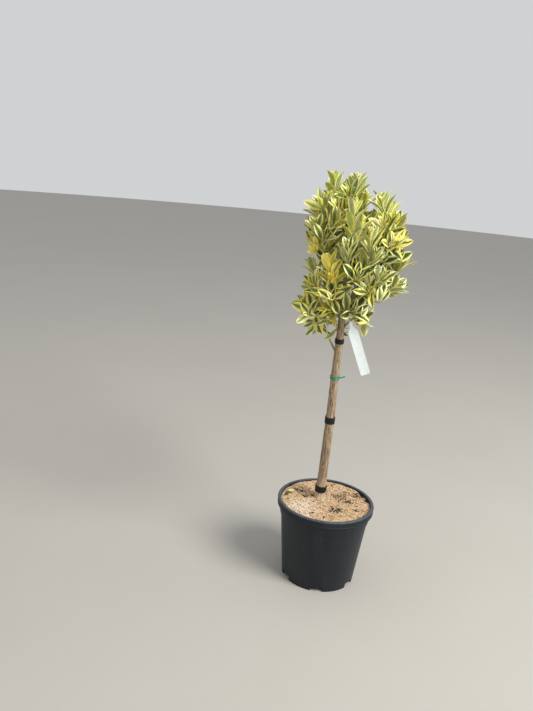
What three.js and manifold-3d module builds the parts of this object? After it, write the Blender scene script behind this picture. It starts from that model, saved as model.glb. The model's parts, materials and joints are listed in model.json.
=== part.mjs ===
// A Japanese spindle grown as a small standard: a clear stem under a round head of variegated evergreen
// leaves, in a round nursery pot filled with compost. Millimetres, +Z up. The origin is the middle of the
// pot's underside, and -Y is the side from which the plant is usually looked at.
import * as THREE from "three";
import { mergeVertices } from "three/addons/utils/BufferGeometryUtils.js";
import Module from "manifold-3d";

const wasm = await Module();
wasm.setup();

// Driving sizes

const DEGREES = Math.PI / 180;
const UP = new THREE.Vector3(0, 0, 1);
const RIGHT = new THREE.Vector3(1, 0, 0);
const GAP = 0.3; // left between solids that touch on the real plant

const POT_HEIGHT = 213; // a 7.5 litre nursery pot
const LIP_RADIUS = 125;
const LIP_DEPTH = 17;
const LIP_WALL = 1.8;
const LIP_ROUNDING = 2.4;
const LIP_DRAFT = 1; // how much narrower the lip is at its foot
const COLLAR_FOOT = 170;
const COLLAR_STEP = 2.4;
const COLLAR_SLOPE = 0.083;
const FOOT_RADIUS = 94.5;
const WALL_SLOPE = 0.108;
const WALL = 2;
const FLOOR_DISC_RADIUS = 66; // the middle of the floor, which stands on the ground as the foot does
const CHANNEL_RISE = 12; // the ring between the disc and the foot, which the notches drain
const CHANNEL_SLANT = 6;
const FLOOR_DRAFT = 1;
const NOTCHES = 6;
const NOTCH_WIDTH = 32;
const NOTCH_HEIGHT = 11.5;
const NOTCH_DEPTH = 20; // of the box that each is cut by, across the foot's wall
const FIRST_NOTCH = 266 * DEGREES;
const POT_SIDES = 36;

const COMPOST_LEVEL = 205; // at the pot's middle
const COMPOST_TILT = 0.03; // how much higher it lies for each millimetre towards the back
const MOUND_HEIGHT = 6;
const MOUND_RADIUS = 38;
const HEAP = new THREE.Vector2(-62, -38); // a low heap of finer stuff at the front left
const HEAP_HEIGHT = 2.2;
const HEAP_RADIUS = 32;
const RIPPLE_HEIGHT = 0.9;
const RIPPLE_LENGTH = 13;
const COMPOST_RINGS = 4;
const SEAT_ROOM = 1; // round the flare of the trunk, which stands in a seat in the compost
const SEAT_DEPTH = 40;
const SEAT_SIDES = 24;

const TRUNK_FOOT = new THREE.Vector3(-15, 15, 208);
const TRUNK_TIP = new THREE.Vector3(-16, 4, 740);
const TRUNK_BOW = [
  // how far right of the straight line from foot to tip the stem stands, at each share of its height
  [0.17, 0.7],
  [0.43, 1.8],
  [0.64, 0.8],
  [0.82, 1.4],
];
const UPRIGHT_FOOT = 20; // height over which it first rises straight
const TRUNK_FOOT_RADIUS = 12.8;
const TRUNK_TIP_RADIUS = 8.6;
const FLARE_RADIUS = 3;
const FLARE_FADE = 11; // height over which the flare shrinks to about a third
const FLARE_LOBES = 5;
const FLARE_LOBE_DEPTH = 0.25;
const TRUNK_SIDES = 11;
const TRUNK_RINGS = 16;
const TRUNK_RINGS_LOW = 1.6; // the power by which the rings stand closer together near the foot

const HUB = new THREE.Vector3(-20, 3, 728); // the point that the crown's limbs and spaces spread from
const CROWN_MIDDLE = new THREE.Vector3(-2, 0, 800);
const CROWN_HALF_WIDTH = 158;
const CROWN_FLAT_HALF_WIDTH = 120; // high on its left side, which is flatter than the right one
const FLAT_FROM = -70; // above the crown's middle, where that side starts to flatten
const FLAT_TO = 50; // and where it is flattest
const CROWN_HALF_DEPTH = 146;
const CROWN_RISE = 254;
const CROWN_DROP = 202;
const CROWN_LEAN = 0.16; // how far the crown's top leans to the left, for each millimetre up
const CROWN_SQUARENESS = 2.25;
const UNDERSIDE_HEIGHT = 745; // of the head's underside at its right, past the low tuft of leaves
const UNDERSIDE_FROM = 64;
const UNDERSIDE_SLOPE = 0.35; // how much it rises for each millimetre to the right

// What the boughs of one ring of the crown share: their shoots, the degrees that these fan out sideways
// and up and down, the share of the way to the crown's edge that is bare bough, how far a bough's middle
// stands above its chord, and its radius as a share of a full one.
const RINGS = {
  top: { shoots: 4, round: 15, up: 11, bare: 0.34, lift: 0, girth: 1.1 },
  upper: { shoots: 3, round: 17, up: 14, bare: 0.38, lift: -13, girth: 1 },
  side: { shoots: 3, round: 19, up: 14, bare: 0.32, lift: 0, girth: 1 },
  low: { shoots: 4, round: 30, up: 12, bare: 0.3, lift: 4, girth: 0.7 },
};

// The boughs: the height where each leaves the trunk, where its mass of leaves lies (azimuth from +X and
// elevation from the crown's middle, in degrees), and how far out that reaches as a share of the crown. The
// last one is a shoot from low on the stem, which rises past the highest band.
const BOUGHS = [
  { name: "top", ring: "top", foot: 740, azimuth: 150, elevation: 83, reach: 1 },
  { name: "top_left", ring: "upper", foot: 722, azimuth: 184, elevation: 54, reach: 1 },
  { name: "top_right", ring: "upper", foot: 718, azimuth: 354, elevation: 54, reach: 1 },
  { name: "top_front", ring: "upper", foot: 712, azimuth: 272, elevation: 28, reach: 1 },
  { name: "top_back", ring: "upper", foot: 708, azimuth: 90, elevation: 32, reach: 1 },
  { name: "side_right", ring: "side", foot: 700, azimuth: 2, elevation: 7, reach: 1 },
  { name: "side_left", ring: "side", foot: 698, azimuth: 178, elevation: 2, reach: 0.97 },
  { name: "front_right", ring: "side", foot: 689, azimuth: 310, elevation: 2, reach: 1 },
  { name: "back_left", ring: "side", foot: 688, azimuth: 122, elevation: 7, reach: 1 },
  { name: "front_left", ring: "side", foot: 679, azimuth: 232, elevation: 0, reach: 1 },
  { name: "back_right", ring: "side", foot: 678, azimuth: 62, elevation: 6, reach: 1 },
  { name: "low_right", ring: "low", foot: 662, azimuth: 335, elevation: -44, reach: 0.74 },
  { name: "low_front", ring: "low", foot: 654, azimuth: 255, elevation: -36, reach: 0.9 },
  { name: "low_back", ring: "low", foot: 646, azimuth: 92, elevation: -36, reach: 0.9 },
  { name: "low_left", ring: "low", foot: 600, azimuth: 176, elevation: -42, reach: 1, bare: 0.44, lift: -7 },
];
const BOUGH_FOOT_RADIUS = 4.1;
const BOUGH_TIP_RADIUS = 2.6;
const BOUGH_SIDES = 6;
const BOUGH_RINGS = 3;

const STEM_LENGTH = 16; // of a mass, from its bough's tip
const FORK_FROM = 0.45; // the stretch of the stem where shoots fork off, as shares of its length
const FORK_RANGE = 0.5;
const MOST_WIDENING = 2.5; // of a fan of shoots near the crown's top, where degrees of azimuth are short
const DRAWN_IN = [1, 0.8, 0.6, 0.4, 0.2]; // shares of its fan that a shoot is tried at
const SHOOT_SAG = 0.14; // how far a shoot's middle lies below its chord, as a share of the chord
const SHOOT_SHORTEST = 0.84; // of its reach
const TWIG_RADIUS = 2;
const SHOOT_TIP_RADIUS = 1.4;
const TWIG_SIDES = 3;
const TWIG_RINGS = 3;
const FIRST_INTERNODE = 7; // from a shoot's end pair of leaves back to the next
const INTERNODE_GROWTH = 1.3;
const LONGEST_INTERNODE = 18;
const LEAFY_SHARE = 0.8; // of a shoot, from its tip back
const OPEN_AT_TIP = 20; // degrees between a leaf and its shoot, at the tip
const OPEN_LOWER = 68; // and from a little way back
const OPENS_OVER = 26;
const OPEN_SPREAD = 8;
const SIZE_AT_TIP = 0.64; // of a full leaf
const SIZE_LOWER = 1.12;
const GROWS_OVER = 20;
const SIZE_SPREAD = 0.2;
const TURN_SPREAD = 24; // degrees either side of the quarter turn between pairs, together
const LEAF_LENGTH = 52;
const TUFT_LENGTH = 0.7; // how far a shoot's leaves reach past its tip, of a leaf's length
const LEAF_WIDTH = 0.43; // of its length
const LEAF_WIDEST = 0.56; // how far along it is widest
const LEAF_THICKNESS = 1.3;
const LEAF_THICKEST = 0.36; // how far along it is thickest
const LEAF_FOLD = 0.09; // how far its edges stand above its midrib, of its length
const LEAF_DROOP = 0.06; // how far its tip hangs below its middle, of its length
const LEAF_SINK = 0.4; // how far its foot lies past the twig's middle
const LEAF_RISE = 0.4; // how much a leaf turns up towards the light
const FACE_RISE = 0.3; // and its upper face
const SHRUNK = [1, 0.86, 0.74, 0.62]; // sizes that a leaf is tried at, where it is short of room
const LEAF_ROOM = 1.2; // left between a leaf and a limb
const TRUNK_CHECK = 4; // height between the places along the trunk that leaves keep clear of
const BOUGH_CHECKS = 30;
const LABEL_CHECKS = 16;
const SHOOT_CHECKS = 8; // stretches of a shoot whose ends are looked at
const SPACE_MARGIN = 0.4; // left between a mass and the edge of its space
const SLIVER = 0.004; // least distance between two corners of a mass
const FIRST_SEED = 1000;
const SEED_STEP = 77;

const BANDS = [
  { name: "band_low", middle: 237, height: 17 },
  { name: "band_middle", middle: 429, height: 17 },
  { name: "band_high", middle: 637, height: 12 },
];
const BAND_THICKNESS = 1.2;
const BAND_SLACK = 0.45; // for the flats of the faceted ring and the bow of the stem inside it
const BAND_SIDES = 12;

const TIE_HEIGHT = 544;
const TIE_WIRE_RADIUS = 0.8;
const TIE_SLACK = 0.9; // between the wire and the trunk, for the flats and the tilt of its turns
const TIE_SIDES = 16;
const TIE_WIRE_SIDES = 4;
const TIE_TILT = 13 * DEGREES;
const TIE_KNOT = new THREE.Vector3(0.8, -0.6, 0); // where its ends are twisted, in radii of a turn
const TIE_TAIL = new THREE.Vector3(15, -6, 7); // from there to their tip
const TIE_TAIL_SAG = -2;
const TIE_TAIL_RADIUS = 1.2;
const TIE_TAIL_SIDES = 5;

const LABEL_LENGTH = 140; // from its loop to its foot
const LABEL_WIDTH = 24;
const LABEL_NECK_WIDTH = 7;
const LABEL_NECK = 0.06; // share of its length
const LABEL_SHOULDER = 0.12; // share over which it widens from neck to strip
const LABEL_THICKNESS = 0.9;
const LABEL_SWING = 23 * DEGREES; // from hanging straight down
const LABEL_CURL = 9;
const LABEL_LOOP_WIDTH = 6;
const LABEL_LOOP_THICKNESS = 1;
const LABEL_LOOP_SLACK = 0.8;
const LABEL_LOOP_SIDES = 10;
const LABEL_ROWS = 9;
const LABEL_SINK = 0.4; // how far the strip's top lies inside the loop
const LABEL_PLACE = 0.56; // share of the low right bough's length where it hangs

// Materials

const potPlastic = new THREE.MeshStandardMaterial({ color: "#26292c", roughness: 0.55, metalness: 0 });
const compostMix = new THREE.MeshStandardMaterial({ color: "#b39270", roughness: 0.95, metalness: 0 });
const bark = new THREE.MeshStandardMaterial({ color: "#8b7558", roughness: 0.85, metalness: 0 });
const leafColour = new THREE.MeshStandardMaterial({ color: "#b9bd62", roughness: 0.45, metalness: 0 });
const blackTape = new THREE.MeshStandardMaterial({ color: "#17181a", roughness: 0.6, metalness: 0 });
const greenWire = new THREE.MeshStandardMaterial({ color: "#2f8f63", roughness: 0.4, metalness: 0 });
const labelPlastic = new THREE.MeshStandardMaterial({ color: "#e9efee", roughness: 0.4, metalness: 0 });

// Solids and meshes

const plant = new THREE.Group();

// A closed geometry as a solid, once the corners that its faces share are merged.
function solidOf(geometry) {
  const bare = new THREE.BufferGeometry();
  bare.setAttribute("position", geometry.getAttribute("position"));
  if (geometry.index) bare.setIndex(geometry.index);
  const merged = mergeVertices(bare, 1e-4);
  const vertProperties = new Float32Array(merged.getAttribute("position").array);
  const triVerts = new Uint32Array(merged.index.array);
  return new wasm.Manifold(new wasm.Mesh({ numProp: 3, vertProperties, triVerts }));
}

function geometryOf(solid) {
  const { vertProperties, triVerts } = solid.getMesh();
  const geometry = new THREE.BufferGeometry();
  geometry.setAttribute("position", new THREE.BufferAttribute(vertProperties, 3));
  geometry.setIndex(new THREE.BufferAttribute(triVerts, 1));
  return geometry;
}

// Cutting and fusing can leave a loose scrap beside the piece, which is dropped.
function largestBody(solid) {
  return solid.decompose().reduce((best, body) => (body.volume() > best.volume() ? body : best));
}

function addPiece(name, solid, material) {
  const mesh = new THREE.Mesh(geometryOf(solid), material);
  mesh.geometry.computeVertexNormals();
  mesh.name = name;
  plant.add(mesh);
}

// A solid of revolution about Z, from [radius, height] pairs that run up its outside.
function turned(profile, sides) {
  const lathe = new THREE.LatheGeometry(
    profile.map(([radius, height]) => new THREE.Vector2(radius, height)),
    sides,
  );
  return lathe.rotateX(90 * DEGREES);
}

const turnedTo = (axis) => new THREE.Quaternion().setFromUnitVectors(UP, axis);
const evenShares = (count) => Array.from({ length: count + 1 }, (_, i) => i / count);

// A round limb: a cylinder bent along a curve, with a ring at each of the given shares of its length and
// the radius that radiusAt gives for a share and an angle round the limb.
function limb(curve, radiusAt, sides, shares) {
  const cylinder = new THREE.CylinderGeometry(1, 1, 1, sides, shares.length - 1);
  const fineness = 100;
  const frames = curve.computeFrenetFrames(fineness, false);
  const at = cylinder.getAttribute("position");
  for (let i = 0; i < at.count; i++) {
    const share = shares[Math.round((at.getY(i) + 0.5) * (shares.length - 1))];
    const frame = Math.round(share * fineness);
    const angle = Math.atan2(at.getZ(i), at.getX(i));
    const out = Math.hypot(at.getX(i), at.getZ(i)) * radiusAt(share, angle);
    const place = curve.getPointAt(share);
    place.addScaledVector(frames.normals[frame], -Math.cos(angle) * out);
    place.addScaledVector(frames.binormals[frame], Math.sin(angle) * out);
    at.setXYZ(i, place.x, place.y, place.z);
  }
  return solidOf(cylinder);
}

// Random draws that are the same on every run.
function seeded(seed) {
  let state = seed >>> 0;
  return () => {
    state = (state + 0x6d2b79f5) >>> 0;
    let t = Math.imul(state ^ (state >>> 15), state | 1);
    t ^= t + Math.imul(t ^ (t >>> 7), t | 61);
    return ((t ^ (t >>> 14)) >>> 0) / 4294967296;
  };
}

const HALVINGS = 30;

// Finds by halving how far along a test stays true.
function lastTrue(limit, test) {
  let low = 0;
  let high = limit;
  for (let i = 0; i < HALVINGS; i++) {
    const middle = (low + high) / 2;
    if (test(middle)) low = middle;
    else high = middle;
  }
  return low;
}

// Pot: a moulded shell with a turned-down lip, a collar under it and a notched foot

const wallRadius = (z) => FOOT_RADIUS + WALL_SLOPE * z;
const collarTop = COLLAR_FOOT + COLLAR_STEP; // the collar's lower edge is a slope as high as it is deep
const collarRadius = (z) => wallRadius(collarTop) + COLLAR_STEP + COLLAR_SLOPE * (z - collarTop);
const channelEdge = FLOOR_DISC_RADIUS + CHANNEL_SLANT;

function potShell() {
  const lipFoot = POT_HEIGHT - LIP_DEPTH;
  const lipUnderside = POT_HEIGHT - LIP_WALL;
  const shell = turned(
    [
      [0, 0],
      [FLOOR_DISC_RADIUS, 0],
      [channelEdge, CHANNEL_RISE],
      [wallRadius(0) - WALL, CHANNEL_RISE],
      [wallRadius(0) - WALL, 0],
      [wallRadius(0), 0],
      [wallRadius(COLLAR_FOOT), COLLAR_FOOT],
      [collarRadius(collarTop), collarTop],
      [collarRadius(lipUnderside), lipUnderside],
      [LIP_RADIUS - LIP_WALL, lipUnderside],
      [LIP_RADIUS - LIP_WALL - LIP_DRAFT, lipFoot],
      [LIP_RADIUS - LIP_DRAFT, lipFoot],
      [LIP_RADIUS, POT_HEIGHT - LIP_ROUNDING],
      [LIP_RADIUS - LIP_ROUNDING, POT_HEIGHT],
      [collarRadius(POT_HEIGHT) - WALL, POT_HEIGHT],
      [collarRadius(collarTop) - WALL, collarTop],
      [wallRadius(COLLAR_FOOT) - WALL, COLLAR_FOOT],
      [wallRadius(CHANNEL_RISE) - WALL, CHANNEL_RISE + WALL],
      [channelEdge - FLOOR_DRAFT, CHANNEL_RISE + WALL],
      [FLOOR_DISC_RADIUS - FLOOR_DRAFT, WALL],
      [0, WALL],
    ],
    POT_SIDES,
  );
  const notches = [];
  for (let i = 0; i < NOTCHES; i++) {
    const notch = new THREE.BoxGeometry(NOTCH_DEPTH, NOTCH_WIDTH, NOTCH_HEIGHT * 2);
    notch.translate(FOOT_RADIUS, 0, 0).rotateZ(FIRST_NOTCH + (i * 2 * Math.PI) / NOTCHES);
    notches.push(solidOf(notch));
  }
  return solidOf(shell).subtract(wasm.Manifold.union(notches));
}

addPiece("pot", potShell(), potPlastic);

// Compost: fills the pot to a little under its lip, higher at the back, with a low mound round the stem

function compostHeight(x, y) {
  const heaped = (at, radius) => Math.exp(-((Math.hypot(x - at.x, y - at.y) / radius) ** 2));
  const mound = MOUND_HEIGHT * heaped(TRUNK_FOOT, MOUND_RADIUS) + HEAP_HEIGHT * heaped(HEAP, HEAP_RADIUS);
  const ripple = RIPPLE_HEIGHT * Math.sin(x / RIPPLE_LENGTH) * Math.cos(y / RIPPLE_LENGTH);
  return COMPOST_LEVEL + COMPOST_TILT * y + mound + ripple;
}

function compostFilling() {
  const profile = [
    [0, WALL + GAP],
    [FLOOR_DISC_RADIUS - FLOOR_DRAFT - GAP, WALL + GAP],
    [channelEdge - FLOOR_DRAFT - GAP, CHANNEL_RISE + WALL + GAP],
    [wallRadius(CHANNEL_RISE) - WALL - GAP, CHANNEL_RISE + WALL + GAP],
    [wallRadius(COLLAR_FOOT) - WALL - GAP, COLLAR_FOOT + GAP],
    [collarRadius(collarTop) - WALL - GAP, collarTop + GAP],
  ];
  const edge = collarRadius(COMPOST_LEVEL - COMPOST_TILT * LIP_RADIUS) - WALL - GAP;
  for (const share of evenShares(COMPOST_RINGS).reverse()) profile.push([edge * share, COMPOST_LEVEL]);
  const filling = turned(profile, POT_SIDES);
  const at = filling.getAttribute("position");
  for (let i = 0; i < at.count; i++) {
    if (at.getZ(i) > collarTop + GAP) at.setZ(i, compostHeight(at.getX(i), at.getY(i)));
  }
  const seatRadius = TRUNK_FOOT_RADIUS + FLARE_RADIUS + SEAT_ROOM;
  const seat = new THREE.CylinderGeometry(seatRadius, seatRadius, SEAT_DEPTH, SEAT_SIDES);
  seat.rotateX(90 * DEGREES).translate(TRUNK_FOOT.x, TRUNK_FOOT.y, TRUNK_FOOT.z - GAP + SEAT_DEPTH / 2);
  return solidOf(filling).subtract(solidOf(seat));
}

addPiece("compost", compostFilling(), compostMix);

// Trunk: one stout stem, nearly straight, planted a little behind and left of the pot's middle

const bowed = ([share, right]) => TRUNK_FOOT.clone().lerp(TRUNK_TIP, share).addScaledVector(RIGHT, right);
const upright = TRUNK_FOOT.clone().addScaledVector(UP, UPRIGHT_FOOT);
const trunkLine = new THREE.CatmullRomCurve3([TRUNK_FOOT, upright, ...TRUNK_BOW.map(bowed), TRUNK_TIP]);
const trunkShareAt = (z) => lastTrue(1, (share) => trunkLine.getPointAt(share).z < z);
const trunkAt = (z) => trunkLine.getPointAt(trunkShareAt(z));
const trunkLength = trunkLine.getLength();

function trunkRadius(share, angle = 0) {
  const flare = FLARE_RADIUS * Math.exp((-share * trunkLength) / FLARE_FADE);
  const lobes = 1 - FLARE_LOBE_DEPTH * (1 - Math.cos(FLARE_LOBES * angle));
  return THREE.MathUtils.lerp(TRUNK_FOOT_RADIUS, TRUNK_TIP_RADIUS, share) + flare * lobes;
}

function trunkSolid(extra) {
  const shares = evenShares(TRUNK_RINGS).map((share) => share ** TRUNK_RINGS_LOW);
  return limb(trunkLine, (share, angle) => trunkRadius(share, angle) + extra, TRUNK_SIDES, shares);
}

addPiece("trunk", trunkSolid(0), bark);

// Crown: an egg-shaped outline whose top leans to the left and whose upper left side is flatter, shared
// out among the boughs

// Below 1 inside the crown's outline and above 1 outside it.
function outline(p) {
  const rise = p.z - CROWN_MIDDLE.z;
  const x = p.x - CROWN_MIDDLE.x + CROWN_LEAN * Math.max(rise, 0);
  const y = p.y - CROWN_MIDDLE.y;
  const flat = x < 0 ? THREE.MathUtils.smoothstep(rise, FLAT_FROM, FLAT_TO) : 0;
  const width = THREE.MathUtils.lerp(CROWN_HALF_WIDTH, CROWN_FLAT_HALF_WIDTH, flat);
  const height = rise > 0 ? CROWN_RISE : CROWN_DROP;
  const power = (length, half) => Math.abs(length / half) ** CROWN_SQUARENESS;
  return power(x, width) + power(y, CROWN_HALF_DEPTH) + power(rise, height);
}

function direction(azimuth, elevation) {
  const flat = Math.cos(elevation * DEGREES);
  const turn = azimuth * DEGREES;
  return new THREE.Vector3(flat * Math.cos(turn), flat * Math.sin(turn), Math.sin(elevation * DEGREES));
}

// The point of the outline that is seen from the crown's middle in a direction.
function edgeAt(azimuth, elevation) {
  const towards = direction(azimuth, elevation);
  const point = (length) => CROWN_MIDDLE.clone().addScaledVector(towards, length);
  return point(lastTrue(2 * CROWN_RISE, (length) => outline(point(length)) < 1));
}

// A curve from one point to another whose middle is lifted off the chord.
function bend(from, to, lift) {
  const knee = from.clone().lerp(to, 0.5).addScaledVector(UP, lift);
  return new THREE.QuadraticBezierCurve3(from, knee, to);
}

const crown = BOUGHS.map((row) => {
  const bough = { ...RINGS[row.ring], ...row };
  const edge = edgeAt(bough.azimuth, bough.elevation);
  const start = bough.foot < TRUNK_TIP.z ? trunkAt(bough.foot) : TRUNK_TIP.clone().addScaledVector(UP, GAP);
  const line = bend(start, HUB.clone().lerp(edge, bough.bare), 2 * bough.lift);
  return { ...bough, line, axis: edge.clone().sub(HUB).normalize() };
});

const boughRadius = (bough, share) =>
  bough.girth * THREE.MathUtils.lerp(BOUGH_FOOT_RADIUS, BOUGH_TIP_RADIUS, share);

const roomForTrunk = trunkSolid(GAP);
for (const bough of crown) {
  const radiusAt = (share) => boughRadius(bough, share);
  const whole = limb(bough.line, radiusAt, BOUGH_SIDES, evenShares(BOUGH_RINGS));
  const startsOnTop = bough.foot >= TRUNK_TIP.z;
  addPiece("bough_" + bough.name, startsOnTop ? whole : largestBody(whole.subtract(roomForTrunk)), bark);
}

// Spaces: each mass keeps to the wedge, seen from the hub, that is nearer to its own axis than to another's

function belowUnderside(p) {
  const right = p.x - UNDERSIDE_FROM;
  return right > 0 && p.z < UNDERSIDE_HEIGHT + UNDERSIDE_SLOPE * right;
}

function inOwnSpace(p, bough) {
  if (outline(p) > 1 || belowUnderside(p)) return false;
  const fromHub = p.clone().sub(HUB);
  return crown.every((other) => {
    if (other === bough) return true;
    const apart = bough.axis.clone().sub(other.axis).normalize();
    return fromHub.dot(apart) > SPACE_MARGIN;
  });
}

// Round places that leaves keep clear of: the trunk, the boughs and the label.
const keepClear = [];
for (let z = TRUNK_FOOT.z; z < TRUNK_TIP.z; z += TRUNK_CHECK) {
  keepClear.push({ at: trunkAt(z), radius: trunkRadius(trunkShareAt(z)) });
}
for (const bough of crown) {
  for (const share of evenShares(BOUGH_CHECKS)) {
    keepClear.push({ at: bough.line.getPointAt(share), radius: boughRadius(bough, share) });
  }
}
const labelBough = crown.find((bough) => bough.name === "low_right");
const labelTop = labelBough.line.getPointAt(LABEL_PLACE);
const labelDown = new THREE.Vector3(Math.sin(LABEL_SWING), 0, -Math.cos(LABEL_SWING));
for (const share of evenShares(LABEL_CHECKS)) {
  const radius = (share < LABEL_NECK ? LABEL_NECK_WIDTH : LABEL_WIDTH) / 2;
  keepClear.push({ at: labelTop.clone().addScaledVector(labelDown, share * LABEL_LENGTH), radius });
}

const clearOfLimbs = (p, room) => keepClear.every(({ at, radius }) => at.distanceTo(p) > radius + room);

// Masses of leaves: shoots fan out from a short stem, with crossed pairs of leaves that close to a tuft

// The shoots' lines. One that would leave its mass's space is drawn in towards the middle of it.
function shootsOf(bough, stem, draw) {
  const shoots = [];
  const phase = draw();
  const round = bough.round * Math.min(1 / Math.cos(bough.elevation * DEGREES), MOST_WIDENING);
  for (let i = 0; i < bough.shoots; i++) {
    const around = 2 * Math.PI * (phase + i / bough.shoots);
    const length = i === 0 ? 1 : THREE.MathUtils.lerp(SHOOT_SHORTEST, 1, draw());
    const fork = stem.getPointAt(FORK_FROM + FORK_RANGE * draw());
    const turn = 360 * draw();
    for (const spread of DRAWN_IN) {
      const azimuth = bough.azimuth + spread * round * Math.cos(around);
      const elevation = bough.elevation + spread * bough.up * Math.sin(around);
      const edge = edgeAt(azimuth, elevation);
      const tuft = (TUFT_LENGTH * LEAF_LENGTH) / HUB.distanceTo(edge);
      const tip = HUB.clone().lerp(edge, bough.reach * length - tuft);
      const line = bend(fork, tip, -SHOOT_SAG * fork.distanceTo(tip));
      const stays = (p) => inOwnSpace(p, bough) && clearOfLimbs(p, TWIG_RADIUS);
      if (!line.getSpacedPoints(SHOOT_CHECKS).every(stays)) continue;
      shoots.push({ line, turn });
      break;
    }
  }
  return shoots;
}

// Where a shoot's leaves sit, from its tip back: at its share, turned about it, opened from it, with a size
// of their own. Each pair is turned a quarter from the last, and they close to a tuft at the tip.
function leavesOf(shoot, draw) {
  const leaves = [];
  const length = shoot.line.getLength();
  let internode = FIRST_INTERNODE;
  let turn = shoot.turn;
  for (let back = 0; back < LEAFY_SHARE * length; back += internode) {
    const opened = THREE.MathUtils.lerp(OPEN_AT_TIP, OPEN_LOWER, Math.min(1, back / OPENS_OVER));
    const grown = THREE.MathUtils.lerp(SIZE_AT_TIP, SIZE_LOWER, Math.min(1, back / GROWS_OVER));
    for (const side of [0, 180]) {
      const open = opened + OPEN_SPREAD * (draw() - 0.5);
      const size = grown - SIZE_SPREAD * draw();
      leaves.push({ share: 1 - back / length, turn: turn + side, open, size });
    }
    turn += 90 + TURN_SPREAD * (draw() - 0.5);
    if (back > 0) internode = Math.min(internode * INTERNODE_GROWTH, LONGEST_INTERNODE);
  }
  return leaves;
}

// The six corners of a leaf: its foot and tip, its two widest points, and the two faces of its middle. One
// that has been shrunk is also held closer to its twig.
function leafCorners(bough, shoot, leaf, shrink) {
  const length = LEAF_LENGTH * leaf.size * shrink;
  const heading = shoot.line.getTangentAt(leaf.share);
  const across = new THREE.Vector3().crossVectors(heading, direction(bough.azimuth + 90, 0)).normalize();
  const other = new THREE.Vector3().crossVectors(heading, across);
  const turn = leaf.turn * DEGREES;
  const outward = across.multiplyScalar(Math.cos(turn)).addScaledVector(other, Math.sin(turn));
  const open = leaf.open * shrink * DEGREES;
  const ahead = heading.clone().multiplyScalar(Math.cos(open)).addScaledVector(outward, Math.sin(open));
  ahead.addScaledVector(UP, LEAF_RISE).normalize();
  const face = heading.clone().addScaledVector(UP, FACE_RISE);
  face.addScaledVector(ahead, -face.dot(ahead)).normalize();
  const side = new THREE.Vector3().crossVectors(ahead, face);
  const half = (LEAF_WIDTH * length) / 2;
  const root = shoot.line.getPointAt(leaf.share);
  const along = (distance) => root.clone().addScaledVector(ahead, distance);
  const edge = along(LEAF_WIDEST * length).addScaledVector(face, LEAF_FOLD * length);
  return {
    foot: along(-LEAF_SINK),
    tip: along(length).addScaledVector(face, -LEAF_DROOP * length),
    left: edge.clone().addScaledVector(side, half),
    right: edge.clone().addScaledVector(side, -half),
    top: along(LEAF_THICKEST * length).addScaledVector(face, LEAF_THICKNESS / 2),
    under: along(LEAF_THICKEST * length).addScaledVector(face, -LEAF_THICKNESS / 2),
  };
}

// A thin kite of eight faces: an octahedron with its corners moved to the leaf's.
function leafSolid({ foot, tip, left, right, top, under }) {
  const leaf = new THREE.OctahedronGeometry(1, 0);
  const at = leaf.getAttribute("position");
  for (let i = 0; i < at.count; i++) {
    let corner = at.getX(i) > 0 ? tip : foot;
    if (Math.abs(at.getY(i)) > 0.5) corner = at.getY(i) > 0 ? right : left;
    if (Math.abs(at.getZ(i)) > 0.5) corner = at.getZ(i) > 0 ? top : under;
    at.setXYZ(i, corner.x, corner.y, corner.z);
  }
  return solidOf(leaf);
}

function leafFits(bough, corners) {
  if (!Object.values(corners).every((p) => inOwnSpace(p, bough))) return false;
  const { foot, tip, left, right, top } = corners;
  const rims = [left, right, top].flatMap((p) => [foot.clone().lerp(p, 0.5), p, p.clone().lerp(tip, 0.5)]);
  return [tip, ...rims].every((p) => clearOfLimbs(p, LEAF_ROOM));
}

// A leaf touches its mass at its own foot only: a second touch would be another leaf or twig in its way.
const crossesMass = (mass, leaf) => mass.intersect(leaf).decompose().length > 1;

// Whether fusing has left two corners so close together that they could run into one.
function hasSliver(solid) {
  const geometry = geometryOf(solid);
  const corners = geometry.getAttribute("position").count;
  return mergeVertices(geometry, SLIVER).getAttribute("position").count < corners;
}

function massSolid(bough, number) {
  const draw = seeded(FIRST_SEED + SEED_STEP * number);
  const heading = bough.line.getTangentAt(1);
  const stemFoot = bough.line.getPointAt(1).addScaledVector(heading, GAP);
  const stem = new THREE.LineCurve3(stemFoot, stemFoot.clone().addScaledVector(heading, STEM_LENGTH));
  const twigRadius = (share) => THREE.MathUtils.lerp(TWIG_RADIUS, SHOOT_TIP_RADIUS, share);
  const shoots = shootsOf(bough, stem, draw);
  const twigs = shoots.map((shoot) => limb(shoot.line, twigRadius, TWIG_SIDES, evenShares(TWIG_RINGS)));
  const base = limb(stem, () => boughRadius(bough, 1), BOUGH_SIDES, evenShares(1));
  let mass = wasm.Manifold.union([base, ...twigs]);
  for (const shoot of shoots) {
    for (const leaf of leavesOf(shoot, draw)) {
      for (const shrink of SHRUNK) {
        const corners = leafCorners(bough, shoot, leaf, shrink);
        if (!leafFits(bough, corners)) continue;
        const blade = leafSolid(corners);
        if (crossesMass(mass, blade)) continue;
        const fused = mass.add(blade);
        if (hasSliver(fused)) continue;
        mass = fused;
        break;
      }
    }
  }
  return largestBody(mass);
}

crown.forEach((bough, number) => addPiece("foliage_" + bough.name, massSolid(bough, number), leafColour));

// Bands: three turns of black tape round the trunk

for (const { name, middle, height } of BANDS) {
  const inner = trunkRadius(trunkShareAt(middle - height / 2)) + GAP + BAND_SLACK;
  const outer = inner + BAND_THICKNESS;
  const ring = turned(
    [
      [inner, -height / 2],
      [outer, -height / 2],
      [outer, height / 2],
      [inner, height / 2],
      [inner, -height / 2],
    ],
    BAND_SIDES,
  );
  ring.applyQuaternion(turnedTo(trunkLine.getTangentAt(trunkShareAt(middle))));
  const centre = trunkAt(middle);
  addPiece(name, solidOf(ring.translate(centre.x, centre.y, centre.z)), blackTape);
}

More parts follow.
